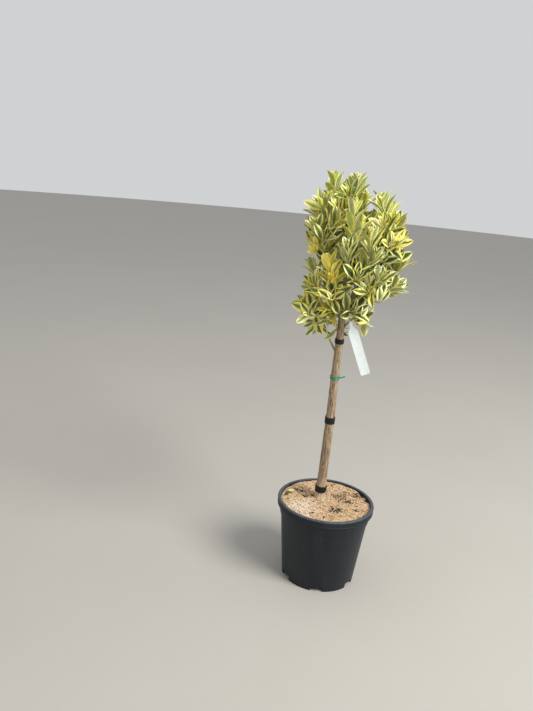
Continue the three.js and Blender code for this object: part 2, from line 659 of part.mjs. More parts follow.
// Wire tie: two crossed turns of green wire with their ends twisted together

function wireTie() {
  const centre = trunkAt(TIE_HEIGHT);
  const radius = trunkRadius(trunkShareAt(TIE_HEIGHT)) + TIE_SLACK + TIE_WIRE_RADIUS;
  const parts = [-TIE_TILT, TIE_TILT].map((tilt) => {
    const turn = new THREE.TorusGeometry(radius, TIE_WIRE_RADIUS, TIE_WIRE_SIDES, TIE_SIDES).rotateX(tilt);
    return solidOf(turn.translate(centre.x, centre.y, centre.z));
  });
  const knot = centre.clone().addScaledVector(TIE_KNOT, radius);
  const tail = bend(knot, knot.clone().add(TIE_TAIL), TIE_TAIL_SAG);
  parts.push(limb(tail, () => TIE_TAIL_RADIUS, TIE_TAIL_SIDES, evenShares(TWIG_RINGS)));
  return wasm.Manifold.union(parts);
}

addPiece("wire_tie", wireTie(), greenWire);

// Label: a blank plastic strip that hangs by its own loop from the low right bough

function hangingLabel() {
  const inner = boughRadius(labelBough, LABEL_PLACE) + GAP + LABEL_LOOP_SLACK;
  const outer = inner + LABEL_LOOP_THICKNESS;
  const half = LABEL_LOOP_WIDTH / 2;
  const section = [[inner, -half], [outer, -half], [outer, half], [inner, half], [inner, -half]];
  const loop = turned(section, LABEL_LOOP_SIDES);
  loop.applyQuaternion(turnedTo(labelBough.line.getTangentAt(LABEL_PLACE)));
  const strip = new THREE.BoxGeometry(1, LABEL_LENGTH, LABEL_THICKNESS, 1, LABEL_ROWS, 1);
  const at = strip.translate(0, -LABEL_LENGTH / 2, 0).getAttribute("position");
  for (let i = 0; i < at.count; i++) {
    const share = -at.getY(i) / LABEL_LENGTH;
    const widening = THREE.MathUtils.smoothstep(share, LABEL_NECK, LABEL_NECK + LABEL_SHOULDER);
    const width = THREE.MathUtils.lerp(LABEL_NECK_WIDTH, LABEL_WIDTH, widening);
    const down = at.getY(i) - inner - LABEL_SINK;
    at.setXYZ(i, at.getX(i) * width, down, at.getZ(i) + LABEL_CURL * share * share);
  }
  strip.rotateX(90 * DEGREES).rotateY(-LABEL_SWING);
  const hung = labelTop.clone().addScaledVector(labelDown, LABEL_LOOP_SLACK);
  return solidOf(loop).add(solidOf(strip)).translate(hung.toArray());
}

addPiece("label", hangingLabel(), labelPlastic);

export default plant;
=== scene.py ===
"""The looks of a small standard of variegated Japanese spindle in its nursery pot: the moulded pot, the
compost with its fibres and crumbs, the barked stem and boughs, and a head of leaves grown by the same rule
as the frame's, carried on to finer twigs. Metres, +Z up. Growth is worked out in millimetres, as a
gardener's rule is, and each mesh is scaled to metres when it is made.
"""

import json
import math

import bpy
import numpy as np
from mathutils import Matrix, Vector, noise

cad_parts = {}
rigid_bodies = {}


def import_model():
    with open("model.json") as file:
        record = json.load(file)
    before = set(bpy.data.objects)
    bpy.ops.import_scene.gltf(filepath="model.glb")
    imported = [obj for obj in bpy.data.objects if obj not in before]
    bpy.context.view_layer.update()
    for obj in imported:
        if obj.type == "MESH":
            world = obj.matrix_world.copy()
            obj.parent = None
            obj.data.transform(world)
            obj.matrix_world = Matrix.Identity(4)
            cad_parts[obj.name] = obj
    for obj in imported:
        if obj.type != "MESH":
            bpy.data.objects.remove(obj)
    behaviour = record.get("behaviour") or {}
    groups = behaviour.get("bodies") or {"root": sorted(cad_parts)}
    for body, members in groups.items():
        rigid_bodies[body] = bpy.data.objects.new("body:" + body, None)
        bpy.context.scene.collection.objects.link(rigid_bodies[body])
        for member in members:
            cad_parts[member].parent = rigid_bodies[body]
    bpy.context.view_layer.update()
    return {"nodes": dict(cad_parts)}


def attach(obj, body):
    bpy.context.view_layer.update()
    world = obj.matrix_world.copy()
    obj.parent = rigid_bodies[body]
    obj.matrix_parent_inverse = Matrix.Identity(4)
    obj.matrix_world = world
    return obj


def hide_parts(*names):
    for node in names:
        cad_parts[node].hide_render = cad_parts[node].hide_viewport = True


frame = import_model()
MM = 0.001
bpy.ops.object.select_all(action="DESELECT")

# Camera: a long step from the plant, at the height of its top, looking down on the pot. It is rolled a
# little, because the picture shows the plant aslant and here it stands upright.

EYE = Vector((-0.189, -1.661, 1.045))
PITCH_DOWN = math.radians(15.5)
ROLL = math.radians(5.4)
PICTURE_HEIGHT = 711  # pixels
FOCAL_LENGTH = 700  # pixels
SENSOR = 36

aim = Matrix.Rotation(math.pi / 2 - PITCH_DOWN, 3, "X") @ Matrix.Rotation(ROLL, 3, "Z")
bpy.ops.object.camera_add(location=EYE, rotation=aim.to_euler())
camera = bpy.context.object
camera.name = "eye"
camera.data.sensor_width = SENSOR
camera.data.lens = SENSOR * FOCAL_LENGTH / PICTURE_HEIGHT
bpy.context.scene.camera = camera

# Pot: a moulded nursery pot of charcoal black plastic, with a rounded lip that turns down to a fine bead, a
# collar under it and a foot with six drainage notches. It is turned as one outline, notched and softened.
# A pale band of painted highlight runs along the top of its lip.

POT_HEIGHT = frame["nodes"]["pot"].dimensions.z
LIP_RADIUS = frame["nodes"]["pot"].dimensions.x / 2
LIP_DEPTH, LIP_WALL, LIP_DRAFT, LIP_ROUNDING = 17 * MM, 1.8 * MM, 1 * MM, 3.2 * MM
BEAD_HEIGHT, BEAD_DEPTH = 1.6 * MM, 0.5 * MM
COLLAR_FOOT, COLLAR_STEP, COLLAR_SLOPE = 170 * MM, 2.4 * MM, 0.083
FOOT_RADIUS, WALL_SLOPE, WALL = 94.5 * MM, 0.108, 2 * MM
DISC_RADIUS, CHANNEL_RISE, CHANNEL_SLANT = 66 * MM, 12 * MM, 6 * MM
NOTCHES, NOTCH_WIDTH, NOTCH_HEIGHT, FIRST_NOTCH = 6, 32 * MM, 11.5 * MM, math.radians(266)
NOTCH_DEPTH = 20 * MM  # of the box that cuts each, across the wall
SLANT_WALL = 1 * MM  # how much the slanted wall of the raised channel takes up
POT_SOFTENING = 0.5 * MM  # of its edges
COLLAR_TOP = COLLAR_FOOT + COLLAR_STEP
CHANNEL_EDGE = DISC_RADIUS + CHANNEL_SLANT


def wall_radius(height):
    return FOOT_RADIUS + WALL_SLOPE * height


def collar_radius(height):
    return wall_radius(COLLAR_TOP) + COLLAR_STEP + COLLAR_SLOPE * (height - COLLAR_TOP)


def turned(name, outline, steps):
    """Turns an outline of (radius, height) points about +Z, as on a lathe. It is left in edit mode."""
    bpy.ops.object.select_all(action="DESELECT")
    bpy.ops.mesh.primitive_plane_add(size=1)
    piece = bpy.context.object
    piece.name = name
    bpy.ops.object.mode_set(mode="EDIT")
    bpy.ops.mesh.merge(type="CENTER")
    at = Vector((0, 0, 0))
    for step, (radius, height) in enumerate(outline):
        move = Vector((radius, 0, height)) - at
        if step == 0:
            bpy.ops.transform.translate(value=move)
        else:
            bpy.ops.mesh.extrude_region_move(TRANSFORM_OT_translate={"value": move})
        at += move
    bpy.ops.mesh.select_all(action="SELECT")
    bpy.ops.mesh.spin(steps=steps, angle=2 * math.pi, center=(0, 0, 0), axis=(0, 0, 1))
    bpy.ops.mesh.select_all(action="SELECT")
    bpy.ops.mesh.remove_doubles(threshold=1e-6)
    bpy.ops.mesh.normals_make_consistent(inside=False)
    return piece


def apply_modifiers(piece):
    bpy.context.view_layer.objects.active = piece
    for modifier in list(piece.modifiers):
        bpy.ops.object.modifier_apply(modifier=modifier.name)


LOW_NOISE, HIGH_NOISE = 0.3, 0.7  # between which nearly all of a noise lies


def lerp(a, b, share):
    return a + (b - a) * share


def smooth(piece, below):
    """Smooths a piece, but for its edges that turn by more than an angle in degrees."""
    bpy.ops.object.select_all(action="DESELECT")
    piece.select_set(True)
    bpy.context.view_layer.objects.active = piece
    bpy.ops.object.shade_smooth_by_angle(angle=math.radians(below))


def finish(name, tones, patch, rough, grain, relief, stretch=(1, 1, 1), shine=0.5, tint_and_painted_highlight=None):
    """A surface whose colour wanders between tones in patches, with a fine relief of its own. A stretch
    above 1 draws the pattern out along that axis. Between two heights a second tone may come in: the stem's
    own straw tint at its foot, and painted highlight along the top of the pot's lip."""
    material = bpy.data.materials.new(name)
    material.use_nodes = True
    nodes, links = material.node_tree.nodes, material.node_tree.links
    shader = nodes["Principled BSDF"]
    shader.inputs["Specular IOR Level"].default_value = shine

    def add(kind, settings):
        node = nodes.new("ShaderNode" + kind)
        for socket, value in settings.items():
            node.inputs[socket].default_value = value
        return node

    place = add("TexCoord", {})
    drawn = add("Mapping", {"Scale": [1 / s for s in stretch]})
    links.new(place.outputs["Object"], drawn.inputs["Vector"])

    wander = add("TexNoise", {"Scale": 1 / patch, "Detail": 5, "Roughness": 0.62})
    links.new(drawn.outputs["Vector"], wander.inputs["Vector"])
    ramp = add("ValToRGB", {})
    stops = ramp.color_ramp.elements
    while len(stops) < len(tones):
        stops.new(0.5)
    for i, tone in enumerate(tones):
        stops[i].position = lerp(LOW_NOISE, HIGH_NOISE, i / max(1, len(tones) - 1))
        stops[i].color = (*tone, 1)
    links.new(wander.outputs["Fac"], ramp.inputs["Fac"])
    colour = ramp.outputs["Color"]
    if tint_and_painted_highlight is not None:
        tone, begins, full = tint_and_painted_highlight
        axes = add("SeparateXYZ", {})
        links.new(place.outputs["Object"], axes.inputs["Vector"])
        height = add("MapRange", {"From Min": begins, "From Max": full})
        links.new(axes.outputs["Z"], height.inputs["Value"])
        uneven = add("Math", {})
        uneven.operation = "MULTIPLY"
        links.new(height.outputs["Result"], uneven.inputs[0])
        links.new(wander.outputs["Fac"], uneven.inputs[1])
        over = add("MixRGB", {"Color2": (*tone, 1)})
        links.new(uneven.outputs["Value"], over.inputs["Fac"])
        links.new(colour, over.inputs["Color1"])
        colour = over.outputs["Color"]
    links.new(colour, shader.inputs["Base Color"])

    ends = {"From Min": LOW_NOISE, "From Max": HIGH_NOISE, "To Min": rough[0], "To Max": rough[1]}
    span = add("MapRange", ends)
    links.new(wander.outputs["Fac"], span.inputs["Value"])
    links.new(span.outputs["Result"], shader.inputs["Roughness"])

    fine = add("TexNoise", {"Scale": 1 / grain, "Detail": 4})
    links.new(drawn.outputs["Vector"], fine.inputs["Vector"])
    bump = add("Bump", {"Distance": relief})
    links.new(fine.outputs["Fac"], bump.inputs["Height"])
    links.new(bump.outputs["Normal"], shader.inputs["Normal"])
    return material


def dress(piece, material, slot, *nodes):
    """Gives a finished piece its material and its body, and hides the frame's nodes that it stands for."""
    piece.data.materials.clear()
    piece.data.materials.append(material)
    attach(piece, "root")
    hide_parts(*nodes)


lip_foot, lip_underside = POT_HEIGHT - LIP_DEPTH, POT_HEIGHT - LIP_WALL
bead_radius = LIP_RADIUS - LIP_DRAFT + BEAD_DEPTH
lip_rounding = [
    (LIP_RADIUS - LIP_ROUNDING * (1 - math.cos(turn)), POT_HEIGHT - LIP_ROUNDING * (1 - math.sin(turn)))
    for turn in np.linspace(0, math.pi / 2, 5)
]
pot = turned(
    "pot_shell",
    [
        (0, 0),
        (DISC_RADIUS, 0),
        (CHANNEL_EDGE, CHANNEL_RISE),
        (wall_radius(0) - WALL, CHANNEL_RISE),
        (wall_radius(0) - WALL, 0),
        (wall_radius(0), 0),
        (wall_radius(COLLAR_FOOT), COLLAR_FOOT),
        (collar_radius(COLLAR_TOP), COLLAR_TOP),
        (collar_radius(lip_underside), lip_underside),
        (LIP_RADIUS - LIP_WALL, lip_underside),
        (LIP_RADIUS - LIP_WALL - LIP_DRAFT, lip_foot),
        (bead_radius, lip_foot),
        (bead_radius, lip_foot + BEAD_HEIGHT),
        (bead_radius - BEAD_DEPTH, lip_foot + BEAD_HEIGHT + BEAD_DEPTH),
        *lip_rounding,
        (collar_radius(POT_HEIGHT) - WALL, POT_HEIGHT),
        (collar_radius(COLLAR_TOP) - WALL, COLLAR_TOP),
        (wall_radius(COLLAR_FOOT) - WALL, COLLAR_FOOT),
        (wall_radius(CHANNEL_RISE) - WALL, CHANNEL_RISE + WALL),
        (CHANNEL_EDGE - SLANT_WALL, CHANNEL_RISE + WALL),
        (DISC_RADIUS - SLANT_WALL, WALL),
        (0, WALL),
    ],
    144,
)
bpy.ops.object.mode_set(mode="OBJECT")

bpy.ops.object.select_all(action="DESELECT")
for i in range(NOTCHES):
    angle = FIRST_NOTCH + i * 2 * math.pi / NOTCHES
    where = (FOOT_RADIUS * math.cos(angle), FOOT_RADIUS * math.sin(angle), 0)
    bpy.ops.mesh.primitive_cube_add(size=1, location=where, rotation=(0, 0, angle))
    bpy.ops.transform.resize(value=(NOTCH_DEPTH, NOTCH_WIDTH, 2 * NOTCH_HEIGHT), orient_type="LOCAL")
    bpy.context.object.name = "notch_cutter"
cutters = [o for o in bpy.data.objects if o.name.startswith("notch_cutter")]
for cutter in cutters:
    cut = pot.modifiers.new("notch", "BOOLEAN")
    cut.object = cutter
    cut.operation = "DIFFERENCE"
    cut.solver = "EXACT"
softened = pot.modifiers.new("soft_edges", "BEVEL")
softened.width = POT_SOFTENING
softened.segments = 2
softened.limit_method = "ANGLE"
softened.angle_limit = math.radians(28)
apply_modifiers(pot)
for cutter in cutters:
    bpy.data.objects.remove(cutter)
smooth(pot, 30)
dress(
    pot,
    finish(
        "pot_plastic",
        [(0.0035, 0.006, 0.0095), (0.0065, 0.0105, 0.016), (0.012, 0.018, 0.0265)],
        patch=13 * MM,
        rough=(0.4, 0.58),
        grain=0.9 * MM,
        relief=0.05 * MM,
        stretch=(1, 1, 9),
        shine=0.35,
        # painted highlight: a pale band round the top of the lip
        tint_and_painted_highlight=((0.12, 0.135, 0.155), POT_HEIGHT - 3.4 * MM, POT_HEIGHT - 0.4 * MM),
    ),
    "pot_plastic",
    "pot",
)

# Compost: a coarse mix topped with straw-coloured coir fibre, with clumps of dark crumbs and a paler patch of
# fine sandy stuff at the front left. It lies higher at the back, is heaped a little round the stem and has
# shrunk from the wall in places.

COMPOST_LEVEL, COMPOST_TILT, SEAT = 205, 0.03, 0.3
MOUND_HEIGHT, MOUND_RADIUS = 6, 38
HEAP, HEAP_HEIGHT, HEAP_RADIUS = (-62, -38), 2.2, 32
RIPPLE_HEIGHT, RIPPLE_LENGTH = 0.9, 13
STEM_FOOT = (-15, 15, 208)


def heaped(x, y, middle, radius):
    return np.exp(-((x - middle[0]) ** 2 + (y - middle[1]) ** 2) / radius**2)


def compost_height(x, y):
    """The frame's own surface, in millimetres."""
    mound = MOUND_HEIGHT * heaped(x, y, STEM_FOOT, MOUND_RADIUS)
    heap = HEAP_HEIGHT * heaped(x, y, HEAP, HEAP_RADIUS)
    ripple = RIPPLE_HEIGHT * np.sin(x / RIPPLE_LENGTH) * np.cos(y / RIPPLE_LENGTH)
    return COMPOST_LEVEL + COMPOST_TILT * y + (mound + heap) + ripple


# Hollows: where each lies, how far it spreads and how deep it is.
HOLLOWS = [((97, 56), 11, 6), ((112, 28), 9, 6), ((-108, 26), 9, 4)]
HOLLOWS += [((-69, -33), 3.5, 4), ((-32, 21), 6, 2.5)]
LUMP_HEIGHT, LUMP_SIZE, CRUMB_HEIGHT, CRUMB_SIZE = 1.3, 7, 0.8, 2.8
SMOOTHNESS, SMOOTH_RADIUS = 0.75, 30  # of the sandy patch


def crumbled_height(x, y):
    """The same surface with the hollows and crumbs of a loose mix, smoother in the sandy patch."""
    rough = 1 - SMOOTHNESS * heaped(x, y, HEAP, SMOOTH_RADIUS)
    lumps = LUMP_HEIGHT * noise.noise(Vector((x, y, 0)) / LUMP_SIZE)
    crumbs = CRUMB_HEIGHT * noise.noise(Vector((x, y, 9)) / CRUMB_SIZE)
    sunk = sum(depth * heaped(x, y, middle, spread) for middle, spread, depth in HOLLOWS)
    return compost_height(x, y) + rough * (lumps + crumbs) - sunk


def piece_from(name, points, faces, smooth_below=None):
    """A mesh from points in millimetres and the faces between them."""
    mesh = bpy.data.meshes.new(name)
    mesh.from_pydata((np.asarray(points) * MM).tolist(), [], faces)
    mesh.update()
    piece = bpy.data.objects.new(name, mesh)
    bpy.context.scene.collection.objects.link(piece)
    if smooth_below is not None:
        smooth(piece, smooth_below)
    return piece


RIM = (collar_radius((COMPOST_LEVEL - COMPOST_TILT * LIP_RADIUS / MM) * MM) - WALL) / MM - SEAT
surface_rings = [(RIM * MM * share, COMPOST_LEVEL * MM) for share in np.linspace(1, 0, 60)]
compost = turned(
    "compost_surface",
    [
        (0, WALL + SEAT * MM),
        (DISC_RADIUS - SLANT_WALL - SEAT * MM, WALL + SEAT * MM),
        (CHANNEL_EDGE - SLANT_WALL - SEAT * MM, CHANNEL_RISE + WALL + SEAT * MM),
        (wall_radius(CHANNEL_RISE) - WALL - SEAT * MM, CHANNEL_RISE + WALL + SEAT * MM),
        (wall_radius(COLLAR_FOOT) - WALL - SEAT * MM, COLLAR_FOOT + SEAT * MM),
        (collar_radius(COLLAR_TOP) - WALL - SEAT * MM, COLLAR_TOP + SEAT * MM),
        *surface_rings,
    ],
    180,
)
bpy.ops.object.mode_set(mode="OBJECT")
for corner in compost.data.vertices:
    if corner.co.z > COLLAR_TOP + 2 * SEAT * MM:
        corner.co.z = crumbled_height(corner.co.x / MM, corner.co.y / MM) * MM
compost.data.update()
smooth(compost, 60)
dress(
    compost,
    finish(
        "compost_mix",
        [(0.1, 0.06, 0.035), (0.4, 0.26, 0.15), (0.62, 0.44, 0.27), (0.74, 0.58, 0.41)],
        patch=9 * MM,
        rough=(0.85, 0.98),
        grain=0.8 * MM,
        relief=0.5 * MM,
    ),
    "compost",
    "compost",
)


def seeded(seed):
    """Random draws that are the same on every run, and the same as the frame's for the same seed."""
    state = seed & 0xFFFFFFFF

    def draw():
        nonlocal state
        state = (state + 0x6D2B79F5) & 0xFFFFFFFF
        t = ((state ^ (state >> 15)) * (state | 1)) & 0xFFFFFFFF
        t ^= (t + ((t ^ (t >> 7)) * (t | 61))) & 0xFFFFFFFF
        return ((t ^ (t >> 14)) & 0xFFFFFFFF) / 4294967296

    return draw


STEM_CLEAR, RIM_CLEAR = 16, 3


def on_compost(draw):
    """A place on the compost, clear of the pot's wall and of the stem."""
    while True:
        x, y = (2 * draw() - 1) * RIM, (2 * draw() - 1) * RIM
        clear = math.hypot(x - STEM_FOOT[0], y - STEM_FOOT[1]) > STEM_CLEAR
        if math.hypot(x, y) < RIM - RIM_CLEAR and clear:
            return x, y


CURL_MOST = 0.05  # how far a fibre bends, as a share of its length
PROUDEST = 1.6  # how high the end of one stands at most
FIBRE_ROWS, FIBRE_TAPER, FIBRE_SUNK = 4, 0.6, 0.2  # rows, and shares of its thickness and of half of it


def fibre_points(x, y, length, thick, draw):
    """A bent coir fibre of three sides that lies on the compost, with one end a little proud."""
    heading = 2 * math.pi * draw()
    curl = 2 * CURL_MOST * (draw() - 0.5)
    proud = PROUDEST * (0.5 + 0.5 * math.sin(7 * heading))
    points = []
    for share in np.linspace(0, 1, FIBRE_ROWS):
        along = (share - 0.5) * length
        side = curl * length * (2 * share - 1) ** 2
        px = x + along * math.cos(heading) - side * math.sin(heading)
        py = y + along * math.sin(heading) + side * math.cos(heading)
        inside = min(1, (RIM - 1) / max(1, math.hypot(px, py)))
        px, py = px * inside, py * inside
        pz = float(crumbled_height(px, py)) + 0.3 * thick + proud * share * share
        half = thick * (FIBRE_TAPER if share in (0, 1) else 1) / 2
        across = (-math.sin(heading) * half, math.cos(heading) * half)
        points.append((px + across[0], py + across[1], pz - FIBRE_SUNK * half))
        points.append((px, py, pz + half))
        points.append((px - across[0], py - across[1], pz - FIBRE_SUNK * half))
    return points


FIBRE_SIDES = [(0, 1), (1, 2), (2, 0)]
FIBRE_STARTS = range(0, 3 * (FIBRE_ROWS - 1), 3)
FIBRE_FACES = [(i + a, i + b, i + 3 + b, i + 3 + a) for i in FIBRE_STARTS for a, b in FIBRE_SIDES]
FIBRE_FACES += [(2, 1, 0), tuple(range(3 * FIBRE_ROWS - 3, 3 * FIBRE_ROWS))]


def scatter(name, count, seed, weight, shape, faces, tones, rough):
    """Many small shapes joined in one piece, closer together where the weight is near 1."""
    draw = seeded(seed)
    points, all_faces = [], []
    while count > 0:
        x, y = on_compost(draw)
        if draw() > weight(x, y):
            continue
        first = len(points)
        points.extend(shape(x, y, draw))
        all_faces.extend([[first + i for i in face] for face in faces])
        count -= 1
    piece = piece_from(name, points, all_faces)
    mix = finish(name, tones, patch=4 * MM, rough=rough, grain=0.5 * MM, relief=0.1 * MM)
    piece.data.materials.append(mix)
    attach(piece, "root")


CRUMB_FACES = [(0, 2, 4), (2, 1, 4), (1, 3, 4), (3, 0, 4), (2, 0, 5), (1, 2, 5), (3, 1, 5), (0, 3, 5)]
CRUMB_RAISED, LEAST_REACH, REACH_SPREAD, FLATTENED = 0.25, 0.35, 0.3, 0.8


def crumb_points(x, y, size, draw):
    """A lump with six corners at uneven distances."""
    z = float(crumbled_height(x, y)) + CRUMB_RAISED * size
    reach = [size * (LEAST_REACH + REACH_SPREAD * draw()) for _ in range(6)]
    return [
        (x + reach[0], y, z),
        (x - reach[1], y, z),
        (x, y + reach[2], z),
        (x, y - reach[3], z),
        (x, y, z + FLATTENED * reach[4]),
        (x, y, z - reach[5]),
    ]


def sandiness(x, y):
    return float(heaped(x, y, (-66, -42), 38))


# Clumps of dark crumbs: where each lies and how far it spreads. The last ones are in the hollows.
CLUMPS = [((36, 32), 13), ((59, 10), 10), ((24, -42), 12), ((62, 52), 7), ((82, 46), 8), ((77, -34), 5)]
CLUMPS += [((-67, 46), 8), ((-77, 54), 6), ((-51, 16), 6)]
CLUMPS += [(middle, spread) for middle, spread, _ in HOLLOWS]


def darkness(x, y):
    return min(1, float(sum(heaped(x, y, middle, spread) for middle, spread in CLUMPS)))


scatter(
    "compost_straw", 2200, 31, lambda x, y: 0.95 - 0.85 * sandiness(x, y) - 0.6 * darkness(x, y),
    lambda x, y, draw: fibre_points(x, y, 5 + 11 * draw(), 0.5 + 0.5 * draw(), draw),
    FIBRE_FACES, [(0.52, 0.32, 0.15), (0.74, 0.51, 0.28)], (0.75, 0.95),
)
scatter(
    "compost_pale_straw", 1900, 32, lambda x, y: 0.9 - 0.7 * darkness(x, y),
    lambda x, y, draw: fibre_points(x, y, 4 + 9 * draw(), 0.4 + 0.5 * draw(), draw),
    FIBRE_FACES, [(0.7, 0.54, 0.37), (0.86, 0.74, 0.56)], (0.75, 0.95),
)
scatter(
    "compost_brown", 1300, 33, lambda x, y: 0.2 + 0.5 * darkness(x, y) - 0.2 * sandiness(x, y),
    lambda x, y, draw: crumb_points(x, y, 1.2 + 2.4 * draw() ** 2, draw),
    CRUMB_FACES, [(0.14, 0.08, 0.045), (0.3, 0.18, 0.1)], (0.8, 0.98),
)
scatter(
    "compost_dark", 850, 34, lambda x, y: 0.03 + 0.9 * darkness(x, y),
    lambda x, y, draw: crumb_points(x, y, 1.6 + 3.4 * draw() ** 2, draw),
    CRUMB_FACES, [(0.008, 0.007, 0.006), (0.028, 0.021, 0.016)], (0.7, 0.95),
)
scatter(
    "compost_sand", 2300, 35, lambda x, y: 0.02 + sandiness(x, y) - darkness(x, y),
    lambda x, y, draw: crumb_points(x, y, 0.8 + 1.1 * draw(), draw),
    CRUMB_FACES, [(0.76, 0.67, 0.55), (0.88, 0.81, 0.7)], (0.75, 0.95),
)


def grid_faces(first, rows, columns):
    """The faces between points that are numbered row by row."""
    corners = [first + row * columns + column for row in range(rows - 1) for column in range(columns - 1)]
    return [(a, a + columns, a + columns + 1, a + 1) for a in corners]


# Scraps of young leaf that have dropped on the compost, curled up at both sides: place, length and heading.
SCRAPS = [(-90, 32, 15, 0.5), (15, -72, 5, 1.9), (21, -70, 4, 0.2)]
SCRAP_ROWS, SCRAP_COLUMNS = 7, 5
SCRAP_WIDTH, SCRAP_RAISED = 0.8, 0.12  # shares of its length
SCRAP_NARROWING = 2.7  # radians of the cosine that narrows it to both ends
SCRAP_CURL_ACROSS, SCRAP_CURL_ALONG = 1.3, 0.5
UNDER_SCRAP = (-4, 0, 4)  # from its middle, where it may rest on the compost
scrap_points, scrap_faces = [], []
for x, y, length, heading in SCRAPS:
    first = len(scrap_points)
    low = max(float(crumbled_height(x + dx, y + dy)) for dx in UNDER_SCRAP for dy in UNDER_SCRAP)
    for along in np.linspace(-0.5, 0.5, SCRAP_ROWS):
        for across in np.linspace(-0.5, 0.5, SCRAP_COLUMNS):
            half = SCRAP_WIDTH * length * math.cos(SCRAP_NARROWING * along) * across
            curl = length * (SCRAP_CURL_ACROSS * across**2 + SCRAP_CURL_ALONG * along**2 + SCRAP_RAISED)
            turned_x = along * length * math.cos(heading) - half * math.sin(heading)
            turned_y = along * length * math.sin(heading) + half * math.cos(heading)
            scrap_points.append((x + turned_x, y + turned_y, low + curl))
    scrap_faces += grid_faces(first, SCRAP_ROWS, SCRAP_COLUMNS)
scraps = piece_from("leaf_scraps", scrap_points, scrap_faces, 60)
skin = scraps.modifiers.new("skin", "SOLIDIFY")
skin.thickness = 0.4 * MM
apply_modifiers(scraps)
dress(
    scraps,
    finish("dry_leaf", [(0.5, 0.52, 0.2), (0.72, 0.74, 0.36)], 5 * MM, (0.5, 0.7), 1 * MM, 0.1 * MM),
    "leaf",
)

# Trunk and boughs: one woody stem, grey-brown with lengthwise cracks, paler and straw-coloured at its foot,
# and boughs that leave it in a cluster under the head and turn from brown to green-grey. Each is one tube.

STEM_TIP = (-16, 4, 740)
STEM_BOW = [(0.17, 0.7), (0.43, 1.8), (0.64, 0.8), (0.82, 1.4)]  # share of the way, millimetres to the right
UPRIGHT_FOOT = 20
STEM_FOOT_RADIUS, STEM_TIP_RADIUS = 12.8, 8.6
FLARE_RADIUS, FLARE_FADE, FLARE_LOBES, FLARE_LOBE_DEPTH = 3, 11, 5, 0.25
HUB = np.array([-20, 3, 728])
CROWN_MIDDLE = np.array([-2, 0, 800])
CROWN_HALF_WIDTH, CROWN_HALF_DEPTH, CROWN_RISE, CROWN_DROP = 158, 146, 254, 202
CROWN_LEAN, CROWN_SQUARENESS = 0.16, 2.25
CROWN_FLAT_HALF_WIDTH, FLAT_FROM, FLAT_TO = 120, -70, 50  # of its left side, which is flatter high up
HALVINGS = 30  # to find its edge
RINGS = {
    "top": {"shoots": 4, "round": 15, "up": 11, "bare": 0.34, "lift": 0, "girth": 1.1},
    "upper": {"shoots": 3, "round": 17, "up": 14, "bare": 0.38, "lift": -13, "girth": 1},
    "side": {"shoots": 3, "round": 19, "up": 14, "bare": 0.32, "lift": 0, "girth": 1},
    "low": {"shoots": 4, "round": 30, "up": 12, "bare": 0.3, "lift": 4, "girth": 0.7},
}
# Name, ring, height of its foot on the stem, azimuth, elevation, reach, and what it has of its own.
BOUGHS = [
    ("top", "top", 740, 150, 83, 1, {}),
    ("top_left", "upper", 722, 184, 54, 1, {}),
    ("top_right", "upper", 718, 354, 54, 1, {}),
    ("top_front", "upper", 712, 272, 28, 1, {}),
    ("top_back", "upper", 708, 90, 32, 1, {}),
    ("side_right", "side", 700, 2, 7, 1, {}),
    ("side_left", "side", 698, 178, 2, 0.97, {}),
    ("front_right", "side", 689, 310, 2, 1, {}),
    ("back_left", "side", 688, 122, 7, 1, {}),
    ("front_left", "side", 679, 232, 0, 1, {}),
    ("back_right", "side", 678, 62, 6, 1, {}),
    ("low_right", "low", 662, 335, -44, 0.74, {}),
    ("low_front", "low", 654, 255, -36, 0.9, {}),
    ("low_back", "low", 646, 92, -36, 0.9, {}),
    ("low_left", "low", 600, 176, -42, 1, {"bare": 0.44, "lift": -7}),
]
BOUGH_FOOT_RADIUS, BOUGH_TIP_RADIUS = 4.1, 2.6
UPWARD = np.array([0, 0, 1.0])


def unit(vector):
    return vector / np.linalg.norm(vector)


HEADING_STEP = 0.004  # share of a line over which its heading is taken
BEND_POINTS, SPAN_POINTS = 60, 80
ASKEW = (0.31, 0.95, 0.05)  # along none of the limbs


class Line:
    """A curve by its arc length, from points that stand close together along it."""

    def __init__(self, points):
        self.points = points
        steps = np.linalg.norm(np.diff(points, axis=0), axis=1)
        self.lengths = np.concatenate([[0], np.cumsum(steps)])
        self.length = self.lengths[-1]

    def at(self, share):
        along = share * self.length
        return np.array([np.interp(along, self.lengths, self.points[:, axis]) for axis in range(3)])

    def heading(self, share):
        return unit(self.at(min(1, share + HEADING_STEP)) - self.at(max(0, share - HEADING_STEP)))


def bend(start, end, lift):
    """A curve whose middle is lifted off its chord, by half of the lift."""
    knee = lerp(start, end, 0.5) + lift * UPWARD
    t = np.linspace(0, 1, BEND_POINTS)[:, None]
    return Line((1 - t) ** 2 * start + 2 * t * (1 - t) * knee + t**2 * end)


def curve_through(points):
    """A smooth curve through points set unevenly: a centripetal Catmull-Rom spline."""
    padded = [2 * points[0] - points[1], *points, 2 * points[-1] - points[-2]]
    t = np.linspace(0, 1, SPAN_POINTS, endpoint=False)[:, None]
    spans = []
    for p0, p1, p2, p3 in zip(padded, padded[1:], padded[2:], padded[3:]):
        d0, d1, d2 = (np.linalg.norm(b - a) ** 0.5 for a, b in ((p0, p1), (p1, p2), (p2, p3)))
        t1 = d1 * ((p1 - p0) / d0 - (p2 - p0) / (d0 + d1) + (p2 - p1) / d1)
        t2 = d1 * ((p2 - p1) / d1 - (p3 - p1) / (d1 + d2) + (p3 - p2) / d2)
        spans.append(p1 + t1 * t + (3 * (p2 - p1) - 2 * t1 - t2) * t**2 + (2 * (p1 - p2) + t1 + t2) * t**3)
    return Line(np.concatenate([*spans, [points[-1]]]))


def direction(azimuth, elevation):
    turn, rise = math.radians(azimuth), math.radians(elevation)
    return np.array([math.cos(rise) * math.cos(turn), math.cos(rise) * math.sin(turn), math.sin(rise)])


